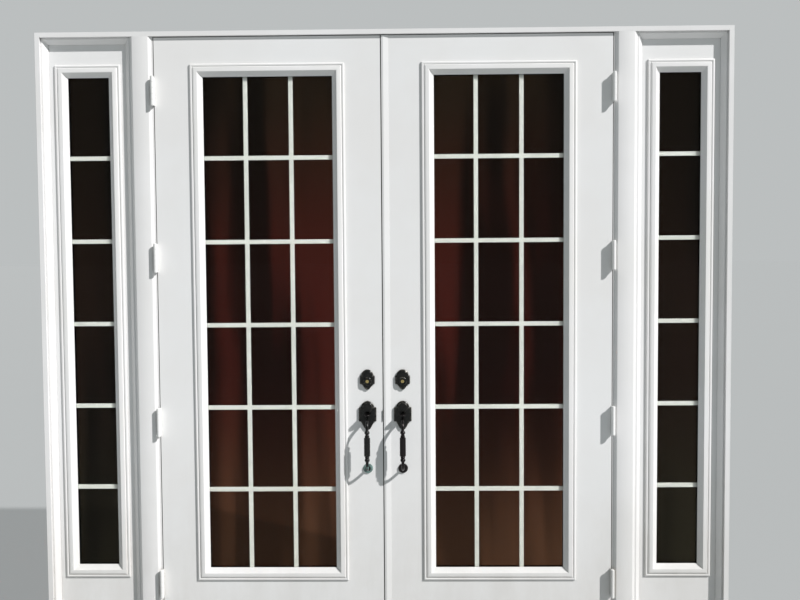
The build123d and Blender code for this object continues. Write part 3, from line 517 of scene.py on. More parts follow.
@dataclass(frozen=True)
class Paint(Finish):
    """Coat of paint or moulded plastic: soft mottling, brush marks or orange peel, soiling and painted shade
    in low corners, painted shade in deep gaps and towards the foot.
    """

    colour: Colour
    shade: Colour
    rough: float = 0.42
    grain: Grain = Grain.NONE
    peel: float = 0.00012
    # Strength of the soiling and painted shade that occlusion puts into low corners; the colour below serves
    # them and the painted shade towards the foot.
    corner_shade_and_dirt: float = 0.30
    shade_and_dirt: Colour = tone(150, 141, 126)
    edge: float = 0.0012
    # Strength of the painted shade in deep gaps between parts; the dark colour below is its colour.
    joint: float = 0.0
    dark: Colour = (0.022, 0.024, 0.022)
    # Heights over which the corner soiling and shade fade in, then those of the painted shade towards the
    # foot.
    shade_and_dirt_heights: tuple[float, float] = (1.3, 0.05)
    foot_shade_heights: tuple[float, float] = (0.95, 0.05)

    def dress(self, recipe: Recipe) -> Socket:
        """Mottle the colour, paint shade and soiling into low corners, paint shade in streaks towards the
        foot and in deep gaps, and chalk the gloss unevenly.

        Args:
            recipe: The material's tree, still empty.

        Returns:
            The finish's shader.
        """
        height = recipe.axis("Z")
        mottle = recipe.span(recipe.noise(1.7, 4.0, 0.6), 0.35, 0.65)
        low = recipe.span(height, *self.shade_and_dirt_heights, (0.25, 1.0))
        patchy = recipe.span(recipe.noise(19.0, 5.0, 0.65), 0.30, 0.75, (0.25, 1.0))
        # Soiling with painted shade: occlusion darkens low corners, in patches, towards the brownish colour.
        shade_and_dirt = recipe.product(recipe.hollow(Hollow.CORNER), patchy, low, self.corner_shade_and_dirt)
        # Painted shade towards the foot, with some soiling: darker, warmer streaks that grow towards the
        # bottom.
        streaks = recipe.span(recipe.noise(7.0, 6.0, 0.7, (1.0, 1.0, 0.35)), 0.2, 0.8, (0.09, 0.26))
        foot_shade_and_dirt = recipe.product(streaks, recipe.span(height, *self.foot_shade_heights))
        colour = recipe.tint(mottle, self.colour, self.shade)
        colour = recipe.tint(recipe.combine("ADD", shade_and_dirt, foot_shade_and_dirt), colour, self.shade_and_dirt)
        # Painted shade in deep gaps: occlusion darkens the narrow gaps round leaves and posts.
        if self.joint > 0:
            colour = recipe.tint(recipe.product(recipe.hollow(Hollow.JOINT), self.joint), colour, self.dark)
        worn = recipe.span(recipe.noise(11.0, 4.0, 0.6), 0.3, 0.7, (self.rough - 0.06, self.rough + 0.08))
        fine = recipe.noise(420.0, 2.0, 0.5, self.grain.value)
        relief = recipe.combine("ADD", fine, recipe.product(recipe.noise(9.0, 2.0, 0.4), 1.5))
        return recipe.shape(
            Base_Color=colour,
            Roughness=worn,
            Normal=recipe.bump(relief, self.peel, recipe.soft_edge(self.edge)),
        )


@dataclass(frozen=True)
class ClearPane(Finish):
    """Outer pane: clear glass with a faint green body and smears."""

    colour: Colour = (0.970, 0.972, 0.964)
    smeared: Colour = (0.93, 0.93, 0.905)
    to_shadows: Colour = (0.94, 0.95, 0.93)
    ior: float = 1.10

    def dress(self, recipe: Recipe) -> Socket:
        """Smear the gloss, and let the shadow rays through.

        Args:
            recipe: The material's tree, still empty.

        Returns:
            The finish's shader.
        """
        streak = recipe.span(recipe.noise(6.0, 4.0, 0.6, (1.0, 1.0, 0.25)), 0.4, 0.7)
        smear = recipe.span(recipe.noise(4.0, 3.0, 0.6), 0.45, 0.75, (0.0, 0.05))
        gloss = recipe.shape(
            Base_Color=recipe.tint(recipe.product(streak, 0.25), self.colour, self.smeared),
            Roughness=smear,
            Transmission_Weight=1.0,
            IOR=self.ior,
        )
        in_shadow = recipe.node("LightPath").outputs["Is Shadow Ray"]
        open_way = recipe.step("BsdfTransparent", "BSDF", {"Color": self.to_shadows})
        return recipe.step("MixShader", "Shader", {"Fac": in_shadow, 1: gloss, 2: open_way})


@dataclass(frozen=True)
class RoomShadePane(Finish):
    """Inner pane painted with the shade of the room behind sunlit glass: near black at the top, redder in the
    middle, browner below as a painted reflection of the floor.
    """

    top: Colour = (0.030, 0.018, 0.010)
    middle: Colour = (0.095, 0.017, 0.012)
    # Brown low down: a painted reflection of the floor.
    bottom: Colour = (0.150, 0.066, 0.034)
    fold: Colour = (0.0060, 0.0042, 0.0030)
    ior: float = 1.10

    def dress(self, recipe: Recipe) -> Socket:
        """Blend the three tones of painted room shade and floor reflection by height, with upright folds of
        lighter and darker tint.

        Args:
            recipe: The material's tree, still empty.

        Returns:
            The finish's shader.
        """
        height = recipe.axis("Z")
        deep = recipe.span(height, 0.35, 1.2, (0.62, 0.90))
        folds = recipe.span(recipe.noise(5.0, 3.0, 0.55, (1.0, 1.0, 0.10)), 0.40, 0.60)
        upper = recipe.tint(recipe.span(height, 1.35, 2.3), self.middle, self.top)
        whole = recipe.tint(recipe.span(height, 1.15, 0.35), upper, self.bottom)
        return recipe.shape(
            Base_Color=recipe.tint(recipe.product(folds, deep), whole, self.fold),
            Roughness=recipe.span(recipe.noise(3.0, 3.0, 0.5), 0.3, 0.7, (0.02, 0.08)),
            Transmission_Weight=1.0,
            IOR=self.ior,
        )


@dataclass(frozen=True)
class Bronze(Finish):
    """Near-black bronze with rubbed edges, and on one foot a green bloom."""

    patina: Patina = Patina.WORN
    body: Colour = (0.0050, 0.0052, 0.0046)
    clouded: Colour = (0.0110, 0.0107, 0.0098)
    rubbed: Colour = (0.260, 0.240, 0.205)
    metal_share: float = 0.35
    rounded: bool = False
    foot: tuple[float, float] = (-0.0715, 0.7234)
    bloom_radii: tuple[float, float] = (0.0085, 0.0135)
    bloom_heights: tuple[float, float] = (0.748, 0.742)

    def dress(self, recipe: Recipe) -> Socket:
        """Cast skin with worn edges; the bloom sits on the round foot, thickest at its rim.

        Args:
            recipe: The material's tree, still empty.

        Returns:
            The finish's shader.
        """
        cloud = recipe.span(recipe.noise(60.0, 4.0, 0.6), 0.35, 0.7)
        turned = recipe.tilted() if self.rounded else recipe.worn_edge(0.0011)
        wear = recipe.product(turned, recipe.span(recipe.noise(90.0, 3.0), 0.4, 0.62), 0.5)
        colour = recipe.tint(wear, recipe.tint(cloud, self.body, self.clouded), self.rubbed)
        metallic: object = self.metal_share
        if self.patina is Patina.VERDIGRIS:
            low = recipe.span(recipe.axis("Z"), *self.bloom_heights)
            rim = recipe.span(recipe.away_from(*self.foot), *self.bloom_radii)
            share = recipe.product(low, rim, recipe.span(recipe.noise(85.0, 4.0, 0.65), 0.28, 0.56))
            green = recipe.tint(recipe.noise(320.0, 3.0), tone(84, 112, 108), tone(132, 160, 154))
            colour = recipe.tint(share, colour, green)
            metallic = recipe.product(recipe.combine("SUBTRACT", 1.0, share), self.metal_share)
        return recipe.shape(
            Base_Color=colour,
            Metallic=metallic,
            Specular_IOR_Level=0.5,
            Roughness=recipe.span(recipe.noise(45.0, 4.0, 0.6), 0.3, 0.7, (0.20, 0.36)),
            Normal=recipe.bump(recipe.noise(380.0, 3.0, 0.6), 0.00010, recipe.soft_edge(0.0008)),
        )


@dataclass(frozen=True)
class BareMetal(Finish):
    """Bare metal with drawing or brushing lines, tarnish clouds and, on the deck, ribs."""

    colour: Colour
    tarnish: Colour
    rough: float
    grain: Grain = Grain.LEVEL
    line_depth: float = 0.00006
    rib_pitch: float = 0.0
    rib_depth: float = 0.0006

    def dress(self, recipe: Recipe) -> Socket:
        """Streak colour and roughness along the grain; ribs are a sine of Y.

        Args:
            recipe: The material's tree, still empty.

        Returns:
            The finish's shader.
        """
        cloud = recipe.span(recipe.noise(14.0, 5.0, 0.65), 0.42, 0.75)
        streak = recipe.noise(700.0, 2.0, 0.5, self.grain.value)
        relief = streak
        depth = self.line_depth
        if self.rib_pitch > 0:
            wave = recipe.combine("SINE", recipe.product(recipe.axis("Y"), 2 * math.pi / self.rib_pitch), 0.0)
            relief = recipe.combine("ADD", recipe.product(streak, 0.1), wave)
            depth = self.rib_depth
        return recipe.shape(
            Base_Color=recipe.tint(recipe.product(cloud, 0.55), self.colour, self.tarnish),
            Metallic=1.0,
            Roughness=recipe.span(streak, 0.25, 0.75, (self.rough - 0.08, self.rough + 0.12)),
            Normal=recipe.bump(relief, depth, recipe.soft_edge(0.0006)),
        )


@dataclass(frozen=True)
class Matte(Finish):
    """Composite board or rubber: fine speckle, rough all over."""

    colour: Colour
    speck: Colour
    rough: float = 0.75
    grit: float = 260.0

    def dress(self, recipe: Recipe) -> Socket:
        """Speckle the colour and pit the surface with the same grit.

        Args:
            recipe: The material's tree, still empty.

        Returns:
            The finish's shader.
        """
        grit = recipe.noise(self.grit, 3.0, 0.6)
        uneven = recipe.noise(20.0, 4.0, 0.6)
        return recipe.shape(
            Base_Color=recipe.tint(recipe.span(grit, 0.4, 0.65), self.colour, self.speck),
            Roughness=recipe.span(uneven, 0.3, 0.7, (self.rough - 0.1, self.rough + 0.1)),
            Normal=recipe.bump(grit, 0.0002, recipe.soft_edge(0.0008)),
        )


BOARD = Paint(
    "brushed_frame_paint", tone(235, 234, 234), tone(230, 229, 228),
    grain=Grain.UPRIGHT, corner_shade_and_dirt=0.4, joint=0.97,
)
MOULDED = Paint(
    "moulded_lite_frame", tone(237, 236, 236), tone(234, 233, 231),
    rough=0.34, peel=0.00006, corner_shade_and_dirt=0.5, edge=0.0007,
)
HINGE = Paint(
    "painted_hinges", tone(237, 237, 236), tone(230, 230, 228),
    rough=0.36, peel=0.00010, corner_shade_and_dirt=0.5, edge=0.0006,
)
CLEAR = ClearPane("clear_outer_glass")
ROOM_SHADE = RoomShadePane("dark_inner_glass")
# Sidelites' inner panes: darker painted room shade.
SIDE_ROOM_SHADE = RoomShadePane(
    "darker_inner_glass", top=(0.012, 0.008, 0.005), middle=(0.022, 0.012, 0.008),
    bottom=(0.036, 0.030, 0.018), fold=(0.006, 0.005, 0.004),
)
CAST_BRONZE = Bronze("cast_dark_bronze", rounded=True)
BLOOMED_BRONZE = Bronze("dark_bronze_green_foot", patina=Patina.VERDIGRIS)
RUBBER = Matte("seal_rubber", (0.055, 0.055, 0.055), (0.085, 0.083, 0.080), rough=0.68, grit=900.0)

BY_SLOT: dict[str, Finish] = {
    "leaf_paint": Paint("satin_leaf_paint", tone(236, 236, 236), tone(233, 232, 231), joint=0.97),
    "frame_paint": BOARD,
    "lite_moulding": MOULDED,
    "grille": Paint(
        "coated_grille_bars", tone(196, 199, 195), tone(189, 192, 188),
        rough=0.4, peel=0.00005, corner_shade_and_dirt=0.1, edge=0.0008,
    ),
    "glass": ROOM_SHADE,
    "hinge_paint": HINGE,
    "dark_bronze": Bronze("dark_bronze"),
    "key_brass": BareMetal("key_brass", (0.12, 0.09, 0.027), (0.02, 0.016, 0.009), 0.24, Grain.NONE),
    "dark_steel": BareMetal(
        "blackened_steel", (0.06, 0.056, 0.052), (0.028, 0.025, 0.022), 0.42, Grain.UPRIGHT
    ),
    "bolt_steel": BareMetal("satin_steel", (0.46, 0.45, 0.43), (0.33, 0.31, 0.28), 0.34, Grain.UPRIGHT),
    "sill_metal": BareMetal(
        "ribbed_sill_deck", (0.62, 0.62, 0.61), (0.46, 0.44, 0.40), 0.38, rib_pitch=0.006
    ),
    "sill_composite": Matte("sill_composite", (0.55, 0.52, 0.48), (0.44, 0.41, 0.37)),
    "seal_rubber": RUBBER,
}


def place(name: str, data: bpy.types.ID) -> bpy.types.Object:
    """Put data into the scene as an object.

    Args:
        name: The object's name.
        data: Its mesh, lamp or camera.

    Returns:
        The object.
    """
    made = bpy.data.objects.new(name, data)
    bpy.context.scene.collection.objects.link(made)
    return made


def add_piece(
    name: str, skin: Skin, finish: Finish, body: str, slot: str, replaced: Sequence[str], sharp: float = 32.0
) -> None:
    """Put a surface into the scene as a finished piece.

    Args:
        name: The piece's name.
        skin: Its closed surface, in place.
        finish: What it is finished with.
        body: The body that it rides on.
        slot: The record's material slot; not used.
        replaced: CAD nodes that it stands for.
        sharp: Faces that meet at more than this many degrees keep a hard edge.
    """
    mesh = bpy.data.meshes.new(name)
    faces = skin.quads.tolist() + [cap.tolist() for cap in skin.caps]
    mesh.from_pydata(skin.points.tolist(), [], faces)
    mesh.polygons.foreach_set("use_smooth", np.ones(len(faces), dtype=bool))
    mesh.set_sharp_from_angle(angle=math.radians(sharp))
    mesh.materials.append(finish.material())
    mesh.update()
    piece = place(name, mesh)
    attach(piece, body)
    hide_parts(*replaced)
    log.info("%s: %d faces on %s", name, len(faces), body)


# Parts of the unit


@dataclass
class Lite:
    """Sealed glass unit of a leaf or sidelite panel with the moulded frame on each face."""

    side: Side
    stem: str
    glass_stem: str
    outer_stem: str
    inner_stem: str
    body: str
    off_centre: float
    z: float
    width: float
    face_y: float
    dark: Finish
    height: float = 2.0
    thickness: float = 0.0445
    face: float = 0.050
    crest: float = 0.012
    ridge: float = 0.030
    nose: float = 0.002
    leg_gauge: float = 0.0022
    setback: float = 0.008
    pane: float = 0.003
    air: float = 0.0127
    lap: float = 0.018
    clearance: float = 0.0003
    edge_gap: float = 0.003
    arris: float = 0.0004

    def profile(self, lip: float) -> np.ndarray:
        """Moulding section as inset and height.

        A rounded bead at the outer edge, a quirk, a broad cushioned face with one fine groove,
        a ridge, and a hollow that falls steeply to the lip on the glass; then the leg.

        Args:
            lip: How far below the face the lip lies.

        Returns:
            The closed section, points x 2.
        """
        leg = self.face - self.lap + self.clearance
        inner = leg + self.leg_gauge
        leg_end = self.thickness / 2 - self.clearance
        hollow = (self.ridge + 0.0075, (self.crest - lip) / 2 + 0.0021)
        parts = [
            [(0.0, 0.0), (0.0, 0.0054)],
            arc((0.0004, 0.0060), (0.0050, 0.0087), (0.0096, 0.0065), 9),
            [(0.0102, 0.0060), (0.0110, 0.0057), (0.0118, 0.0057), (0.0125, 0.0063)],
            arc((0.0130, 0.0083), (0.0143, 0.0099), (0.0160, 0.0106), 6),
            [(0.0165, 0.0102), (0.0172, 0.0102)],
            arc((0.0177, 0.0111), (0.0235, 0.0118), (self.ridge, self.crest), 7),
            arc((self.ridge + 0.0007, self.crest - 0.0001), hollow, (self.face, self.nose - lip), 14),
            [(self.face, -lip), (inner, -lip), (inner, -leg_end), (leg, -leg_end), (leg, 0.0)],
        ]
        return np.concatenate([np.array(p, float) for p in parts])

    def build(self) -> None:
        """Make both moulded frames and both panes."""
        x = self.side.value * self.off_centre
        half = (self.width / 2 + self.face, self.height / 2 + self.face)
        outer_lip = self.setback - self.clearance
        inner_lip = self.thickness - self.setback - 2 * self.pane - self.air - self.clearance
        made = []
        for face, lip, y, outward, node in (
            ("outer", outer_lip, self.face_y, -1, self.outer_stem),
            ("inner", inner_lip, self.face_y + self.thickness, 1, self.inner_stem),
        ):
            ring = corner_ring(self.profile(lip), (x, self.z), half, y, outward)
            made.append((f"{face}_moulding", ring, MOULDED, "lite_moulding", node))
        reach = np.array([self.width, self.height]) / 2 + self.lap - self.edge_gap
        for face, finish, y in (
            ("outer", CLEAR, self.face_y + self.setback),
            ("inner", self.dark, self.face_y + self.setback + self.pane + self.air),
        ):
            low = (x - reach[0], y, self.z - reach[1])
            high = (x + reach[0], y + self.pane, self.z + reach[1])
            sheet = arrised_box(low, high, self.arris)
            made.append((f"{face}_pane", sheet, finish, "glass", self.glass_stem))
        for name, skin, finish, slot, node in made:
            piece = self.side.named(f"{self.stem}_{name}")
            add_piece(piece, skin, finish, self.body, slot, [self.side.named(node)])


@dataclass
class Shape:
    """Convex outline given by how far it reaches from the origin in each direction."""

    extent: np.ndarray

    @staticmethod
    def directions() -> np.ndarray:
        """Unit vectors every two degrees."""
        turn = np.radians(np.arange(0.0, 360.0, 2.0))
        return np.stack([np.cos(turn), np.sin(turn)], axis=-1)

    @classmethod
    def rounded(cls, middle: float, half_x: float, half_z: float, radius: float) -> "Shape":
        """Rectangle with round corners, or a circle where both halves equal the radius.

        In direction n it reaches n.z times middle, plus |n| times the halves less the radius, plus the
        radius.

        Args:
            middle: Z of its middle.
            half_x: Half its width.
            half_z: Half its height.
            radius: Radius of its corners.

        Returns:
            The outline.
        """
        n = cls.directions()
        flat = np.abs(n) @ np.array([half_x - radius, half_z - radius])
        return cls(n[:, 1] * middle + flat + radius)

    def hull_with(self, other: "Shape") -> "Shape":
        """The convex outline round both."""
        return Shape(np.maximum(self.extent, other.extent))

    def leave(self, rays: np.ndarray) -> np.ndarray:
        """Where each ray from the origin leaves the shape; 0 where it misses it.

        A direction n bounds the shape by a line, which a ray meets at extent / (ray . n). It leaves at
        the nearest line that it crosses outwards, and misses the shape if it crosses one inwards after that.

        Args:
            rays: Unit vectors, rays x 2.

        Returns:
            One distance per ray.
        """
        along = rays @ self.directions().T
        with np.errstate(divide="ignore", invalid="ignore"):
            cut = self.extent / along
        out = np.where(along > 1e-9, cut, np.inf).min(axis=1)
        enter = np.where(along < -1e-9, cut, -np.inf).max(axis=1)
        return np.where(np.maximum(enter, 0.0) <= out, out, 0.0)


@dataclass
class CastPlate:
    """Ornate plate: domed top, notched shoulders, tapered round foot, cast with a bevelled rim.

    All is laid out in rays round the centre of its opening. Heights of the outline count from the
    plate's own middle.
    """

    side: Side
    piece_stem: str
    node_stem: str
    z: float
    opening_z: float
    width: float
    body: float
    dome: float
    top: float
    bottom: float
    foot_width: float
    foot_radius: float
    off_centre: float = 0.0715
    thickness: float = 0.0095
    corner: float = 0.002
    bevel: float = 0.0038
    rise: float = 0.0024
    crown: float = 0.35
    groove: float = 0.0050
    groove_half: float = 0.0010
    groove_depth: float = 0.0007
    swell_start: float = 0.0061
    swell_run: float = 0.011
    swell_rise: float = 0.0006
    ring_step: float = 0.00045
    rim_rings: int = 19
    field_rings: int = 16
    samples: int = 480

    def rays(self) -> np.ndarray:
        """Unit vectors round the opening's centre."""
        turn = np.linspace(0, 2 * math.pi, self.samples, endpoint=False)
        return np.stack([np.cos(turn), np.sin(turn)], axis=-1)

    def border(self) -> np.ndarray:
        """Distance of the outline along each ray: the furthest of body, dome and foot.

        Returns:
            One distance per ray.
        """
        drop = self.z - self.opening_z
        foot = self.foot_radius
        neck = Shape.rounded(drop - self.body / 2, self.foot_width / 2, self.corner / 2, 0.0)
        shapes = (
            Shape.rounded(drop, self.width / 2, self.body / 2, self.corner),
            Shape.rounded(drop + self.top - self.dome, self.dome, self.dome, self.dome),
            Shape.rounded(drop - self.bottom + foot, foot, foot, foot).hull_with(neck),
        )
        return np.max([shape.leave(self.rays()) for shape in shapes], axis=0)

    def opening(self) -> np.ndarray:
        """Distance of the inner edge along each ray."""
        raise NotImplementedError

    def relief(self, spots: np.ndarray, inset: np.ndarray) -> np.ndarray:
        """Height over the leaf at spots that lie inset from the outline.

        A crowned bevel rises from the side, steeper at its foot; a fine groove follows it; the
        field behind swells by a smooth step.

        Args:
            spots: Points of the field, X and Z from the opening's centre; not used here.
            inset: How far each lies from the outline.

        Returns:
            One height per point.
        """
        share = np.clip(inset / self.bevel, 0.0, 1.0)
        rim = self.thickness - self.rise + self.rise * share * (1 + self.crown * (1 - share))
        groove = np.clip(1 - ((inset - self.groove) / self.groove_half) ** 2, 0.0, None) ** 2
        swell = np.clip((inset - self.swell_start) / self.swell_run, 0.0, 1.0)
        return rim - self.groove_depth * groove + self.swell_rise * swell**2 * (3 - 2 * swell)

    def tail(self, inner: np.ndarray) -> list[tuple[np.ndarray, np.ndarray]]:
        """Rings from the inner edge of the field to the leaf, as distance and height."""
        return [(inner, np.zeros(self.samples))]

    def build(self) -> None:
        """Loft from the leaf up the side, over the rim and the field, and back down the opening."""
        rays, border, inner = self.rays(), self.border(), self.opening()
        edge = rays * border[:, None]
        insets = [0.0, 0.0002, 0.0005, 0.001, 0.0016, 0.0023, 0.003]
        insets += [insets[-1] + self.ring_step * (k + 1) for k in range(self.rim_rings)]
        radii = [border - inset for inset in insets]
        shares = np.linspace(0, 1, self.field_rings + 1)[1:]
        radii += [radii[-1] + (inner - radii[-1]) * share for share in shares]
        rings = [(border, np.zeros(self.samples))]
        for radius in radii:
            spots = rays * radius[:, None]
            inset = np.sqrt(((spots[:, None, :] - edge[None, :, :]) ** 2).sum(axis=-1)).min(axis=1)
            rings.append((radius, self.relief(spots, np.where(radius >= border, 0.0, inset))))
        rings += self.tail(inner)
        middle = np.array([self.side.value * self.off_centre, self.opening_z])
        points = np.array([
            np.insert(middle + rays * radius[:, None], 1, -height, axis=1) for radius, height in rings
        ])
        add_piece(
            self.side.named(self.piece_stem), loft(points, Ends.LOOPED), CAST_BRONZE,
            self.side.named("leaf"), "dark_bronze", [self.side.named(self.node_stem)], sharp=50.0,
        )


@dataclass
class HandlePlate(CastPlate):
    """Plate with a raised round boss and the slot that the thumbpiece passes through."""

    boss_radius: float = 0.0195
    boss_rise: float = 0.0026
    boss_rim: float = 0.0024
    slot_half_width: float = 0.0063
    slot_half_height: float = 0.0065
    slot_corner: float = 0.0004

    def opening(self) -> np.ndarray:
        """Edge of the slot."""
        slot = Shape.rounded(0.0, self.slot_half_width, self.slot_half_height, self.slot_corner)
        return slot.leave(self.rays())

    def relief(self, spots: np.ndarray, inset: np.ndarray) -> np.ndarray:
        """The plain relief with the boss on it, whose rim is rounded over.

        The rim of the boss is a quarter of an ellipse.

        Args:
            spots: Points of the field, X and Z from the opening's centre.
            inset: How far each lies from the outline.

        Returns:
            One height per point.
        """
        middle = np.array([0.0, self.z + self.top - self.dome - self.opening_z])
        off = np.linalg.norm(spots - middle, axis=1)
        step = np.clip((self.boss_radius - off) / self.boss_rim, 0.0, 1.0)
        return super().relief(spots, inset) + self.boss_rise * np.sqrt(1 - (1 - step) ** 2)


@dataclass
class Rose(CastPlate):
    """Plate with the tapered housing of the lock cylinder, open for the key plug."""

    housing_radius: float = 0.0172
    fillet: float = 0.0004
    fillet_rise: float = 0.0006
    nose_radius: float = 0.015
    proud: float = 0.018
    lip: float = 0.0012
    dish: Pairs = ((0.0122, 0.0), (0.0113, 0.0007), (0.0088, 0.0009), (0.0078, 0.0004))
    bore: float = 0.00656
    bore_depth: float = 0.0004

    def opening(self) -> np.ndarray:
        """Foot of the housing."""
        return np.full(self.samples, self.housing_radius)

    def tail(self, inner: np.ndarray) -> list[tuple[np.ndarray, np.ndarray]]:
        """Up the housing, over its rounded lip, in to the bore by a shallow dish, down the bore.

        Args:
            inner: Distance of the field's inner edge along each ray; not used.

        Returns:
            The rings, as distance and height.
        """
        foot = self.thickness + self.swell_rise + self.fillet_rise
        profile = [(self.housing_radius - self.fillet, foot)]
        for turn in np.radians([0.0, 30.0, 60.0, 90.0]):
            across, up = self.lip * math.cos(turn), self.lip * math.sin(turn)
            profile.append((self.nose_radius - self.lip + across, self.proud - self.lip + up))
        profile += [(radius, self.proud - depth) for radius, depth in self.dish]
        profile += [(self.bore, self.proud - self.bore_depth), (self.bore, 0.0)]
        return [(np.full(self.samples, radius), np.full(self.samples, height)) for radius, height in profile]


@dataclass
class BulbSeal:
    """Compression seal of the astragal: a stem in the kerf and a bulb across the gap."""

    kerf_low: float = 0.0385
    kerf_high: float = 0.0415
    edge: float = -0.006
    neck: float = -0.007
    bulb_x: float = -0.0094
    bulb_y: float = 0.0410
    half_x: float = 0.0024
    half_y: float = 0.0031
    low: float = 0.036
    high: float = 2.468

    def build(self) -> None:
        """Run the section up the astragal: the bulb is an ellipse that the stem's two sides meet."""
        turn = np.linspace(math.radians(35.0), math.radians(325.0), 28)
        across, deep = self.half_x * np.cos(turn), self.half_y * np.sin(turn)
        bulb = np.stack([self.bulb_x + across, self.bulb_y + deep], axis=-1)
        stem = np.array([
            (self.neck, self.kerf_low), (self.edge, self.kerf_low),
            (self.edge, self.kerf_high), (self.neck, self.kerf_high),
        ])
        section = np.concatenate([bulb, stem])
        skin = run_up(section, np.full(len(section), self.low), self.high)
        add_piece("astragal_bulb_seal", skin, RUBBER, "right_leaf", "seal_rubber", ["astragal_seal"])


@dataclass
class Casings:
    """Mull casings: a flat face between two ogee slopes, run up each post."""

    start: float = 0.926
    end: float = 1.0142
    slope: float = 0.013
    proud: float = 0.011
    edge: float = 0.0016
    top: float = 2.471
    deck_back: float = 0.0205
    deck_front: float = 0.008
    deck_run: float = 0.028

    def profile(self) -> np.ndarray:
        """Section as X and Y: two S-shaped slopes that meet the flat face.

        Returns:
            The closed section, points x 2.
        """
        rise = ease((self.start, -self.edge), (self.start + self.slope, -self.proud), 0.8, 12)
        fall = ease((self.end - self.slope, -self.proud), (self.end, -self.edge), 0.8, 12)
        return np.concatenate([[(self.start, 0.0)], rise, fall, [(self.end, 0.0)]])

    def build(self) -> None:
        """Make the right casing, standing on the slope of the deck, and its mirror image."""
        section = self.profile()
        foot = self.deck_back + section[:, 1] * (self.deck_back - self.deck_front) / self.deck_run
        right = run_up(section, foot, self.top)
        skin = together([right.mirrored(), right])
        add_piece("post_casings", skin, BOARD, "frame", "frame_paint", ["mull_casings"])


@dataclass
class HingeSet:
    """Four butt hinges of one side: plates let into post and leaf, five knuckles, a pin with caps."""

    side: Side
    axis_x: float = 0.9195
    throw: float = 0.024
    count: int = 4
    first: float = 0.251
    pitch: float = 0.667333
    height: float = 0.1143
    knuckles: int = 5
    barrel: float = 0.0075
    rim: float = 0.0006
    pin: float = 0.0035
    cap: float = 0.0025
    cap_shape: Pairs = ((0.0065, 0.0), (0.0065, 0.4), (0.0056, 0.78), (0.0036, 0.96), (0.0006, 1.0))
    gauge: float = 0.003
    half_gap: float = 0.0015
    plate_end: float = 0.038
    curl: float = 0.0008
    gap: float = 0.0003
    screws: Pairs = ((-0.043, 0.012), (-0.015, 0.026), (0.015, 0.026), (0.043, 0.012))

    def turned(self, profile: Pairs, segments: int) -> Skin:
        """Profile of radius and height, turned round the hinge's axis."""
        return lathe(np.array(profile), (self.axis_x, -self.throw, 0.0), (0, 0, 1), segments)

    def knuckle(self, low: float, high: float) -> Skin:
        """Knuckle with eased rims."""
        r, rim = self.barrel, self.rim
        return self.turned([(r - rim, low), (r, low + rim), (r, high - rim), (r - rim, high)], 36)

    def screw(self, x: float, y: float, z: float, facing: int) -> Skin:
        """Painted countersunk head: a shallow dome with a filled-in dimple.

        Args:
            x: X of the head's flat.
            y: Y of its middle.
            z: Z of its middle.
            facing: 1 when it faces +X, -1 when it faces -X.

        Returns:
            The closed head.
        """
        dome = [(0.0044, 0.0), (0.0043, 0.00012), (0.0036, 0.00028)]
        dimple = [(0.0017, 0.00032), (0.0011, 0.00012), (0.0004, 0.00010)]
        return lathe(np.array(dome + dimple), (x, y, z), (facing, 0, 0), 24)

    def half(self, middle: float, into: int, knuckles: Sequence[int]) -> list[Skin]:
        """One hinge half: plate, knuckles with the curl to the barrel, and screw heads.

        Args:
            middle: Z of the hinge's middle.
            into: 1 for the half that is let into the post, -1 for the one in the leaf.
            knuckles: Which knuckles it carries, counted from below.

        Returns:
            Its closed surfaces.
        """
        low = middle - self.height / 2
        length = self.height / self.knuckles
        plate_x = self.axis_x + into * self.half_gap
        near, far = sorted((plate_x, plate_x + into * self.gauge))
        front = -self.throw + self.barrel + self.curl
        made = [arrised_box((near, front, low), (far, self.plate_end, low + self.height), 0.0005, 0)]
        for k in knuckles:
            bottom = low + k * length + (self.gap / 2 if k > 0 else 0)
            top = low + (k + 1) * length - (self.gap / 2 if k < self.knuckles - 1 else 0)
            made.append(self.knuckle(bottom, top))
            made.append(arrised_box((near, -self.throw, bottom), (far, front + self.curl, top), 0.0003, 2))
        made += [self.screw(plate_x, y, middle + up, -into) for up, y in self.screws]
        return made

    def build(self) -> dict[str, Skin]:
        """Surfaces of the post halves, the leaf halves and the pins of this side.

        Returns:
            The surfaces, named posts, leaves and pins.
        """
        made: dict[str, list[Skin]] = {"posts": [], "leaves": [], "pins": []}
        for n in range(self.count):
            middle = self.first + n * self.pitch
            made["posts"] += self.half(middle, 1, (0, 2, 4))
            made["leaves"] += self.half(middle, -1, (1, 3))
            low, high = middle - self.height / 2, middle + self.height / 2
            for end, rise in ((low, -self.cap), (high, self.cap)):
                made["pins"].append(self.turned([(r, end + rise * share) for r, share in self.cap_shape], 32))
            made["pins"].append(self.turned([(self.pin, low), (self.pin, high)], 20))
        joined = {name: together(skins) for name, skins in made.items()}
        if self.side is Side.LEFT:
            return {name: skin.mirrored() for name, skin in joined.items()}
        return joined


def build_hinges() -> None:
    """Join both sides' post halves and pins, and keep the leaf halves with their leaves."""
    left, right = HingeSet(Side.LEFT).build(), HingeSet(Side.RIGHT).build()
    for piece, skin, body, node in (
        ("hinge_post_halves", together([left["posts"], right["posts"]]), "frame", "frame_hinge_leaves"),
        ("hinge_pins_and_caps", together([left["pins"], right["pins"]]), "frame", "hinge_pins"),
        ("left_hinge_leaf_halves", left["leaves"], "left_leaf", "left_door_hinge_leaves"),
        ("right_hinge_leaf_halves", right["leaves"], "right_leaf", "right_door_hinge_leaves"),
    ):
        add_piece(piece, skin, HINGE, body, "hinge_paint", [node])


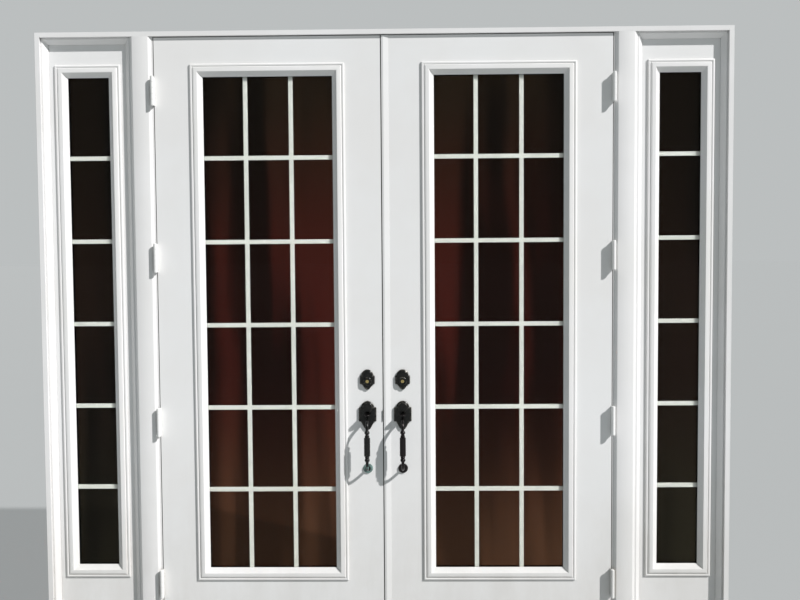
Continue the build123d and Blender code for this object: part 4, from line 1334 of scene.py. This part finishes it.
@dataclass
class Unit:
    """The whole door unit: finishes for the CAD nodes, then the pieces built here."""

    nodes: dict[str, bpy.types.Object]
    slots: dict[str, str]
    own_finish: dict[str, Finish] = field(default_factory=lambda: {"left_grip": BLOOMED_BRONZE})

    def dress_nodes(self) -> None:
        """Give each CAD node the finish of its slot, or its own where one differs."""
        for name, node in sorted(self.nodes.items()):
            finish = self.own_finish.get(name, BY_SLOT[self.slots[name]])
            node.data.materials.clear()
            node.data.materials.append(finish.material())
        log.info("finished %d CAD nodes", len(self.nodes))

    def build(self) -> None:
        """Build the lites, plates, roses, seal, casings and hinges."""
        for side in Side:
            Lite(
                side, "door", "door_glass", "outer_lite_frame", "inner_lite_frame", side.named("leaf"),
                off_centre=0.464, z=1.311, width=0.520, face_y=0.0, dark=ROOM_SHADE,
            ).build()
            Lite(
                side, "sidelite", "sidelite_glass", "sidelite_outer_frame", "sidelite_inner_frame", "frame",
                off_centre=1.1945, z=1.317, width=0.166, face_y=0.025, dark=SIDE_ROOM_SHADE,
            ).build()
            HandlePlate(
                side, "cast_handle_plate", "handle_plate", z=0.9457, opening_z=0.9487, width=0.071,
                body=0.057, dome=0.026, top=0.0545, bottom=0.063, foot_width=0.053, foot_radius=0.014,
            ).build()
            Rose(
                side, "cast_rose", "deadbolt_rose", z=1.0867, opening_z=1.0817, width=0.060,
                body=0.034, dome=0.024, top=0.042, bottom=0.040, foot_width=0.044, foot_radius=0.012,
            ).build()
        BulbSeal().build()
        Casings().build()
        build_hinges()


@dataclass
class Studio:
    """Pale floor, even sky, one soft sun from the right and the photo's viewpoint."""

    sky: Colour = (0.165, 0.197, 0.207)
    backdrop: Colour = (0.500, 0.520, 0.522)
    sunlight: Colour = (1.0, 0.985, 0.978)
    floor_colour: Colour = (0.210, 0.218, 0.219)
    floor_glow: Colour = (0.252, 0.258, 0.257)
    sun_from: Point = (0.64, -0.455, 0.62)
    sun_power: float = 4.08
    sun_angle: float = 1.2
    fill_from: Point = (-0.5, 0.7, 0.5)
    fill_power: float = 0.4
    fill_angle: float = 20.0
    floor_reach: float = 400.0
    floor_drop: float = 0.0005
    floor_fade: float = 0.98
    eye: Point = (0.1168, -3.485, 1.5716)
    right: Point = (0.9998637, 0.0150206, -0.0068474)
    up: Point = (0.0061449, 0.0463263, 0.9989075)
    back: Point = (0.0153214, -0.9988134, 0.0462277)
    lens: float = 38.824
    sensor: float = 36.0
    clip: tuple[float, float] = (0.05, 1500.0)

    def lamp(self, name: str, source: Point, power: float, angle: float) -> None:
        """Sun lamp that shines from source.

        Args:
            name: The lamp's name.
            source: Direction that its light comes from.
            power: Its strength.
            angle: How wide the sun looks, in degrees.
        """
        data = bpy.data.lights.new(name, "SUN")
        data.energy = power
        data.angle = math.radians(angle)
        data.color = self.sunlight
        place(name, data).rotation_euler = Vector(source).to_track_quat("Z", "Y").to_euler()

    def world(self) -> bpy.types.World:
        """Even sky light, with the floor's own tone behind the object.

        Returns:
            The world.
        """
        made = bpy.data.worlds.new("studio_sky")
        recipe = Recipe(made)
        path = recipe.node("LightPath").outputs
        seen = recipe.combine("MAXIMUM", path["Is Camera Ray"], path["Is Transmission Ray"])
        sky, behind = (
            recipe.step("Background", "Background", {"Color": colour}) for colour in (self.sky, self.backdrop)
        )
        recipe.show("World", recipe.step("MixShader", "Shader", {"Fac": seen, 1: sky, 2: behind}))
        return made

    def floor(self) -> None:
        """Large plain floor just under the sill."""
        mesh = bpy.data.meshes.new("studio_floor")
        corners = [(x, y, -self.floor_drop) for x, y in CORNERS * self.floor_reach]
        mesh.from_pydata(corners, [], [(0, 1, 2, 3)])
        material = bpy.data.materials.new("studio_floor")
        recipe = Recipe(material)
        worn = tuple(value * self.floor_fade for value in self.floor_colour)
        recipe.show("Material", recipe.shape(
            Base_Color=recipe.tint(recipe.noise(0.8, 3.0), self.floor_colour, worn),
            Roughness=0.9,
            Emission_Color=self.floor_glow,
            Emission_Strength=1.0,
        ))
        mesh.materials.append(material)
        place("studio_floor", mesh)

    def build(self) -> None:
        """Set up world, lamps, floor and camera."""
        scene = bpy.context.scene
        scene.world = self.world()
        scene.view_settings.view_transform = "Standard"
        self.lamp("sun_lamp", self.sun_from, self.sun_power, self.sun_angle)
        self.lamp("fill_lamp", self.fill_from, self.fill_power, self.fill_angle)
        self.floor()
        data = bpy.data.cameras.new("camera")
        data.lens = self.lens
        data.sensor_width = self.sensor
        data.clip_start, data.clip_end = self.clip
        camera = place("camera", data)
        columns = Matrix((self.right, self.up, self.back)).transposed()
        camera.matrix_world = Matrix.Translation(self.eye) @ columns.to_4x4()
        scene.camera = camera
        log.info("studio ready")


def main() -> None:
    """Build the doors on the frame, then the studio."""
    logging.basicConfig(level=logging.INFO, format="%(message)s")
    slots = {part["node"]: part["material_slot"] for part in frame["record"]["subparts"]}
    unit = Unit(frame["nodes"], slots)
    unit.dress_nodes()
    unit.build()
    Studio().build()


if __name__ == "__main__":
    main()
